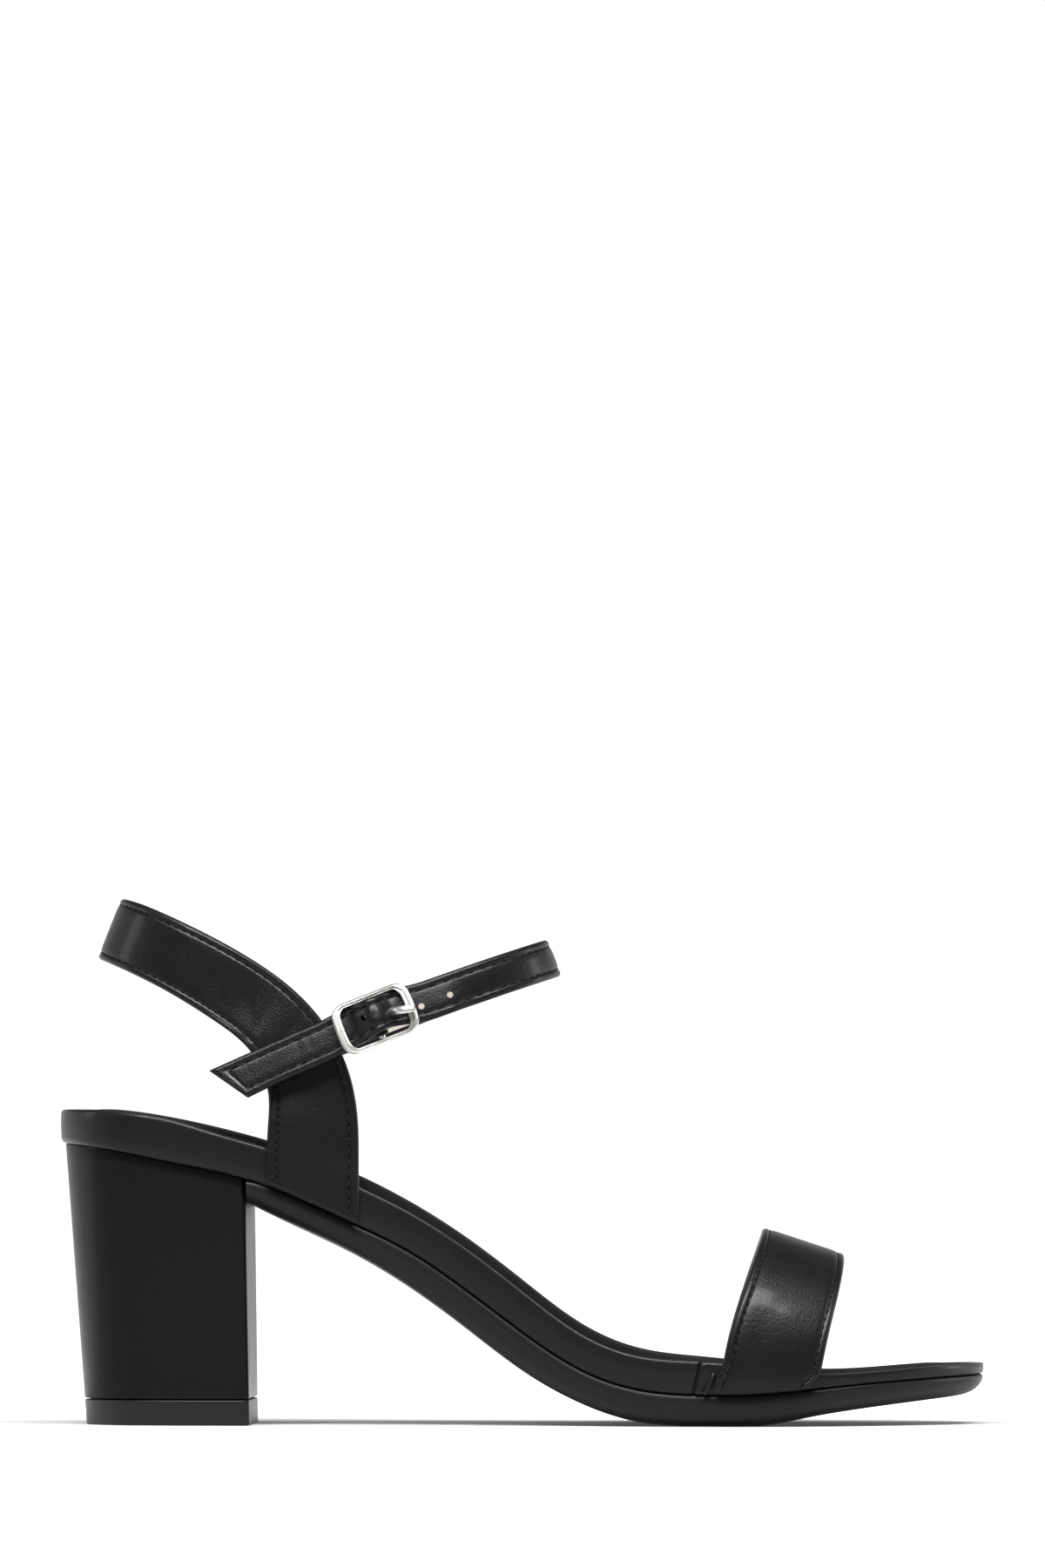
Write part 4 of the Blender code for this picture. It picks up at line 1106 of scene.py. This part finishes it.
def edge_line(strap, side, start, stop):
    """A line STITCH_IN inside one edge, from start to stop mm along the strap."""
    v = side * (1 - STITCH_IN / strap.half)
    return lambda k: ((start + (stop - start) * k) / strap.length, np.full_like(k, v))


for strap, name, pitch, start, stop in (
    (toe, "toe_strap", 2.5, 1.5, toe_length - 1.5),
    (heel_band, "heel_strap", 2.4, 2.0, heel_run[-1] - 2.0),
    (ankle, "ankle_strap", 3.2, 2.6, ANKLE_LENGTH - 2.0),
):
    for side, edge in ((-1, "rear"), (1, "front")):
        count = int((stop - start) / pitch)
        sew(f"{name}_{edge}", strap, edge_line(strap, side, start, stop), count)
sew("ankle_strap_tip", ankle, lambda k: (np.full_like(k, 2.5 / ANKLE_LENGTH), (2 * k - 1) * 0.6), 2)

# %% [markdown]
# ## Buckle
#
# The frame is a rounded rectangle with slightly bowed ends. Its section has a low ridge inside and
# a high one outside, with a groove between them, which draws the double line of light that a cast
# frame shows. A round centre bar joins its rails, the prong turns on that bar, and a leather tab
# holds the bar. All are sections carried along a path, given in the ankle strap's p, w and y.

# %% Frame and centre bar
FRAME_HALF_P = 9.05
FRAME_HALF_W = 6.15
FRAME_CORNER = 2.7
FRAME_UP = 0.4            # how far the frame sits above the strap's middle line
FRAME_BOW = 0.5
FRAME_BAR = 1.2
FRAME_RAIL = 0.66
FRAME_DEPTH = 1.0
FRAME_Y = -30.6
FRAME_RISE = 1.1
CENTRE_BAR_Y = -29.6
CENTRE_BAR_RADIUS = 0.8
FRAME_SECTION = np.array((
    (-1.0, 0.5), (-1.0, -0.3), (-0.92, -0.52), (-0.74, -0.66), (-0.5, -0.66), (-0.34, -0.5),
    (-0.2, -0.42), (-0.08, -0.56), (0.04, -0.86), (0.22, -1.02), (0.55, -1.02), (0.82, -0.86),
    (0.97, -0.5), (1.0, -0.2), (1.0, 0.5), (0.8, 0.85), (0.4, 1.0), (-0.4, 1.0), (-0.8, 0.85),
))                        # across and in depth, as shares of the half width and half depth

corner = np.linspace(0, pi / 2, 14)
turn = np.concatenate([np.append(corner + k * pi / 2, np.full(7, (k + 1) * pi / 2)) for k in range(4)])
flat = np.tile(np.append(np.zeros(14), np.linspace(0, 1, 9)[1:-1]), 4)
quarter = np.repeat(np.arange(4), 21)
sign_p, sign_w = np.array((1, -1, -1, 1))[quarter], np.array((1, 1, -1, -1))[quarter]
out_p, out_w = np.cos(turn), np.sin(turn)
p = sign_p * (FRAME_HALF_P - FRAME_CORNER) * (1 - 2 * flat * (quarter % 2 == 0)) + FRAME_CORNER * out_p
w = sign_w * (FRAME_HALF_W - FRAME_CORNER) * (1 - 2 * flat * (quarter % 2 == 1)) + FRAME_CORNER * out_w
p = p + FRAME_BOW * out_p * (1 - (w / FRAME_HALF_W) ** 2)
half = FRAME_RAIL + (FRAME_BAR - FRAME_RAIL) * np.abs(out_p) ** 1.5
y = FRAME_Y - FRAME_RISE * (p / FRAME_HALF_P) ** 2
side = half[:, None] * FRAME_SECTION[:, 0]
grid = in_plane(p[:, None] + side * out_p[:, None], FRAME_UP + w[:, None] + side * out_w[:, None],
                y[:, None] + FRAME_DEPTH * FRAME_SECTION[:, 1])
skin("buckle_frame_ring", grid, [NICKEL], "buckle_frame", loop=True, crisp=28)

turn = np.linspace(0, 2 * pi, 24, endpoint=False)
ends = FRAME_UP + np.linspace(-FRAME_HALF_W, FRAME_HALF_W, 8)
grid = in_plane(np.tile(CENTRE_BAR_RADIUS * np.cos(turn), (8, 1)), np.tile(ends[:, None], 24),
                np.tile(CENTRE_BAR_Y + CENTRE_BAR_RADIUS * np.sin(turn), (8, 1)))
skin("buckle_centre_bar", grid, [NICKEL], "buckle_frame", caps=True)


# %% Prong
def strip(p, y, w, half_w, half_wall, sides=16, power=3.0):
    """Sections of a flat strip along a path in the plane of p and y: a rounded box round the path."""
    run_p, run_y = np.gradient(p), np.gradient(y)
    length = np.hypot(run_p, run_y)
    turn = np.linspace(0, 2 * pi, sides, endpoint=False) + pi / sides
    box_w = np.sign(np.cos(turn)) * np.abs(np.cos(turn)) ** (2 / power)
    box_h = np.sign(np.sin(turn)) * np.abs(np.sin(turn)) ** (2 / power)
    lift = half_wall[:, None] * box_h
    return in_plane(p[:, None] - (run_y / length)[:, None] * lift, w[:, None] + half_w[:, None] * box_w,
                    y[:, None] + (run_p / length)[:, None] * lift)


def path(p, y, count):
    """A smooth curve through a few points in the plane of p and y."""
    run = np.concatenate([[0], np.cumsum(np.hypot(np.diff(p), np.diff(y)))])
    s = np.linspace(0, run[-1], count)
    return spline(run, p)(s), spline(run, y)(s)


PRONG_RADIUS = 0.75
PRONG_HALF_WIDTH = 1.1
PRONG_EYE = 1.65
PRONG_W = 1.7
PRONG_SLANT = 0.24
rest = FRAME_Y - FRAME_RISE - FRAME_DEPTH - GAP - PRONG_RADIUS
reach = rest - CENTRE_BAR_Y
eye = np.radians(np.linspace(150, 360, 25))[:-1]
p, y = path((PRONG_EYE, 3.05, 4.75, 6.25, 7.75, FRAME_HALF_P + 1.5),
            CENTRE_BAR_Y + reach * np.array((0, 0.05, 0.5, 0.9, 1.06, 1.0)), 40)
p = np.append(PRONG_EYE * np.cos(eye), p)
y = np.append(CENTRE_BAR_Y - PRONG_EYE * np.sin(eye), y)
taper = np.sqrt(np.clip(np.minimum((np.arange(len(p)) + 1) / 3, (len(p) - np.arange(len(p))) / 4), 0, 1))
grid = strip(p, y, PRONG_W - PRONG_SLANT * np.maximum(p, 0), PRONG_HALF_WIDTH * taper, PRONG_RADIUS * taper,
             power=2.3)
skin("buckle_prong_pin", grid, [NICKEL], "buckle_prong", caps=True)

# %% Tab
TAB_INNER = -24.9
TAB_LOOP = 1.55
TAB_HALF_WIDTH = 4.2
TAB_HALF_WALL = 0.45
SLOT_MIDDLE = 1.0         # p of the slot that lets the prong through, and half its straight length
SLOT_HALF = 1.7
SLOT_RADIUS = 1.3
p, y = path((-19.0, -14.0, -10.0, -6.0, -3.2, 0.0),
            TAB_INNER + (CENTRE_BAR_Y + TAB_LOOP - TAB_INNER) * np.array((0, 0, 0.06, 0.48, 0.89, 1.0)), 40)
loop = np.radians(np.linspace(80, -150, 40))
p = np.append(p, TAB_LOOP * np.cos(loop))
y = np.append(y, CENTRE_BAR_Y + TAB_LOOP * np.sin(loop))
grid = strip(p, y, np.zeros(len(p)), np.full(len(p), TAB_HALF_WIDTH), np.full(len(p), TAB_HALF_WALL),
             sides=24, power=6.0)
tab = skin("buckle_tab_loop", grid, [STRAP_LEATHER], "buckle_tab", caps=True,
           marks={"along": np.arange(len(p))[:, None] * 0.6, "across": 0.0, "worn": 0.3})
turn = np.linspace(0, 2 * pi, 16, endpoint=False)
slot_p = SLOT_MIDDLE + SLOT_HALF * np.sign(np.cos(turn)) + SLOT_RADIUS * np.cos(turn)
slot_w = PRONG_W + SLOT_RADIUS * np.sin(turn)
pierce(tab, [in_plane(slot_p, slot_w, np.full(16, CENTRE_BAR_Y + k)) for k in (-3.1, 3.1)])

# %% [markdown]
# ## Floor, light and camera
#
# The shoe stands on a white studio floor. A large soft light over the shoe, a little to the
# camera's side, gives the streaks on upward shoulders, and a small one in front finds the wrinkles.
# The space behind is bright and the space in front is dim, so that a black shoe keeps its depth and
# only its edges catch the white. The floor glows from behind the shoe on, which turns it into a
# white backdrop without washing out the shadow under the sole.

# %% Floor
FLOOR_HALF = 6000.0
mesh = bpy.data.meshes.new("floor")
corners = np.array(((-1, -1, 0), (1, -1, 0), (1, 1, 0), (-1, 1, 0))) * FLOOR_HALF * MM
mesh.from_pydata(corners.tolist(), [], [(0, 1, 2, 3)])
material, tree, shader = principled("white studio floor", "#c0c0c0", 0.8)
depth = add(tree, "SeparateXYZ", {"Vector": add(tree, "TexCoord").outputs["Object"]}).outputs["Y"]
glow = add(tree, "MapRange", {"Value": depth, "From Min": 0.02, "From Max": 0.1,
                              "To Min": 0.06, "To Max": 1.0})
tree.links.new(glow.outputs["Result"], shader.inputs["Emission Strength"])
shader.inputs["Emission Color"].default_value = (1.0, 1.0, 1.0, 1.0)
mesh.materials.append(material)
floor = bpy.data.objects.new("floor", mesh)
bpy.context.scene.collection.objects.link(floor)

# %% Light
world = bpy.data.worlds.new("studio")
world.use_nodes = True
bpy.context.scene.world = world
tree = world.node_tree
direction = add(tree, "TexCoord").outputs["Generated"]
parts = add(tree, "SeparateXYZ", {"Vector": direction})
behind = add(tree, "MapRange", {"Value": parts.outputs["Y"], "From Min": -0.1, "From Max": 0.5,
                                "To Min": 0.0, "To Max": 0.9}, interpolation_type="SMOOTHSTEP")
low = add(tree, "MapRange", {"Value": parts.outputs["Z"], "From Min": 0.18, "From Max": 0.5,
                             "To Min": 1.0, "To Max": 0.0}, interpolation_type="SMOOTHSTEP")
sweep = add(tree, "Math", {0: behind.outputs["Result"], 1: low.outputs["Result"], 2: 0.16},
            operation="MULTIPLY_ADD")
tree.links.new(sweep.outputs["Value"], tree.nodes["Background"].inputs["Strength"])
tree.nodes["Background"].inputs["Color"].default_value = (1.0, 1.0, 1.0, 1.0)


def softbox(name, place, target, size, power):
    """A rectangular area light at a place, aimed at a target, all in metres and watts."""
    lamp = bpy.data.lights.new(name, "AREA")
    lamp.shape = "RECTANGLE"
    lamp.size, lamp.size_y = size
    lamp.energy = power
    holder = bpy.data.objects.new(name, lamp)
    bpy.context.scene.collection.objects.link(holder)
    holder.location = place
    away = np.array(place) - np.array(target)
    flat = float(np.hypot(away[0], away[1]))
    holder.rotation_euler = (float(np.arctan2(flat, away[2])), 0.0, float(np.arctan2(away[0], -away[1])))


softbox("overhead", (0.05, -0.56, 1.15), (0.0, 0.0, 0.05), (1.1, 0.42), 34.0)
softbox("right", (1.3, 0.25, 0.4), (0.0, 0.0, 0.05), (0.3, 0.7), 4.5)
softbox("left", (-1.3, 0.0, 0.45), (0.0, 0.0, 0.08), (0.3, 0.6), 2.5)
softbox("front", (-0.55, -0.85, 1.1), (-0.05, 0.0, 0.1), (0.16, 0.16), 4.6)
bpy.context.scene.view_settings.view_transform = "Standard"
print("lights:", ", ".join(lamp.name for lamp in bpy.data.lights))

# %% Camera
CAMERA_DISTANCE = 2.2
CAMERA_HEIGHT = 0.050
CAMERA_TILT = radians(3.026)
camera = bpy.data.objects.new("camera", bpy.data.cameras.new("camera"))
bpy.context.scene.collection.objects.link(camera)
camera.location = (0.0, -CAMERA_DISTANCE, CAMERA_HEIGHT)
camera.rotation_euler = (pi / 2 + CAMERA_TILT, 0.0, 0.0)
camera.data.sensor_width = 36.0
camera.data.lens = 194.07
camera.data.clip_start = 0.05
camera.data.clip_end = 50.0
bpy.context.scene.camera = camera
print("camera:", CAMERA_DISTANCE, "m away,", CAMERA_HEIGHT, "m high")
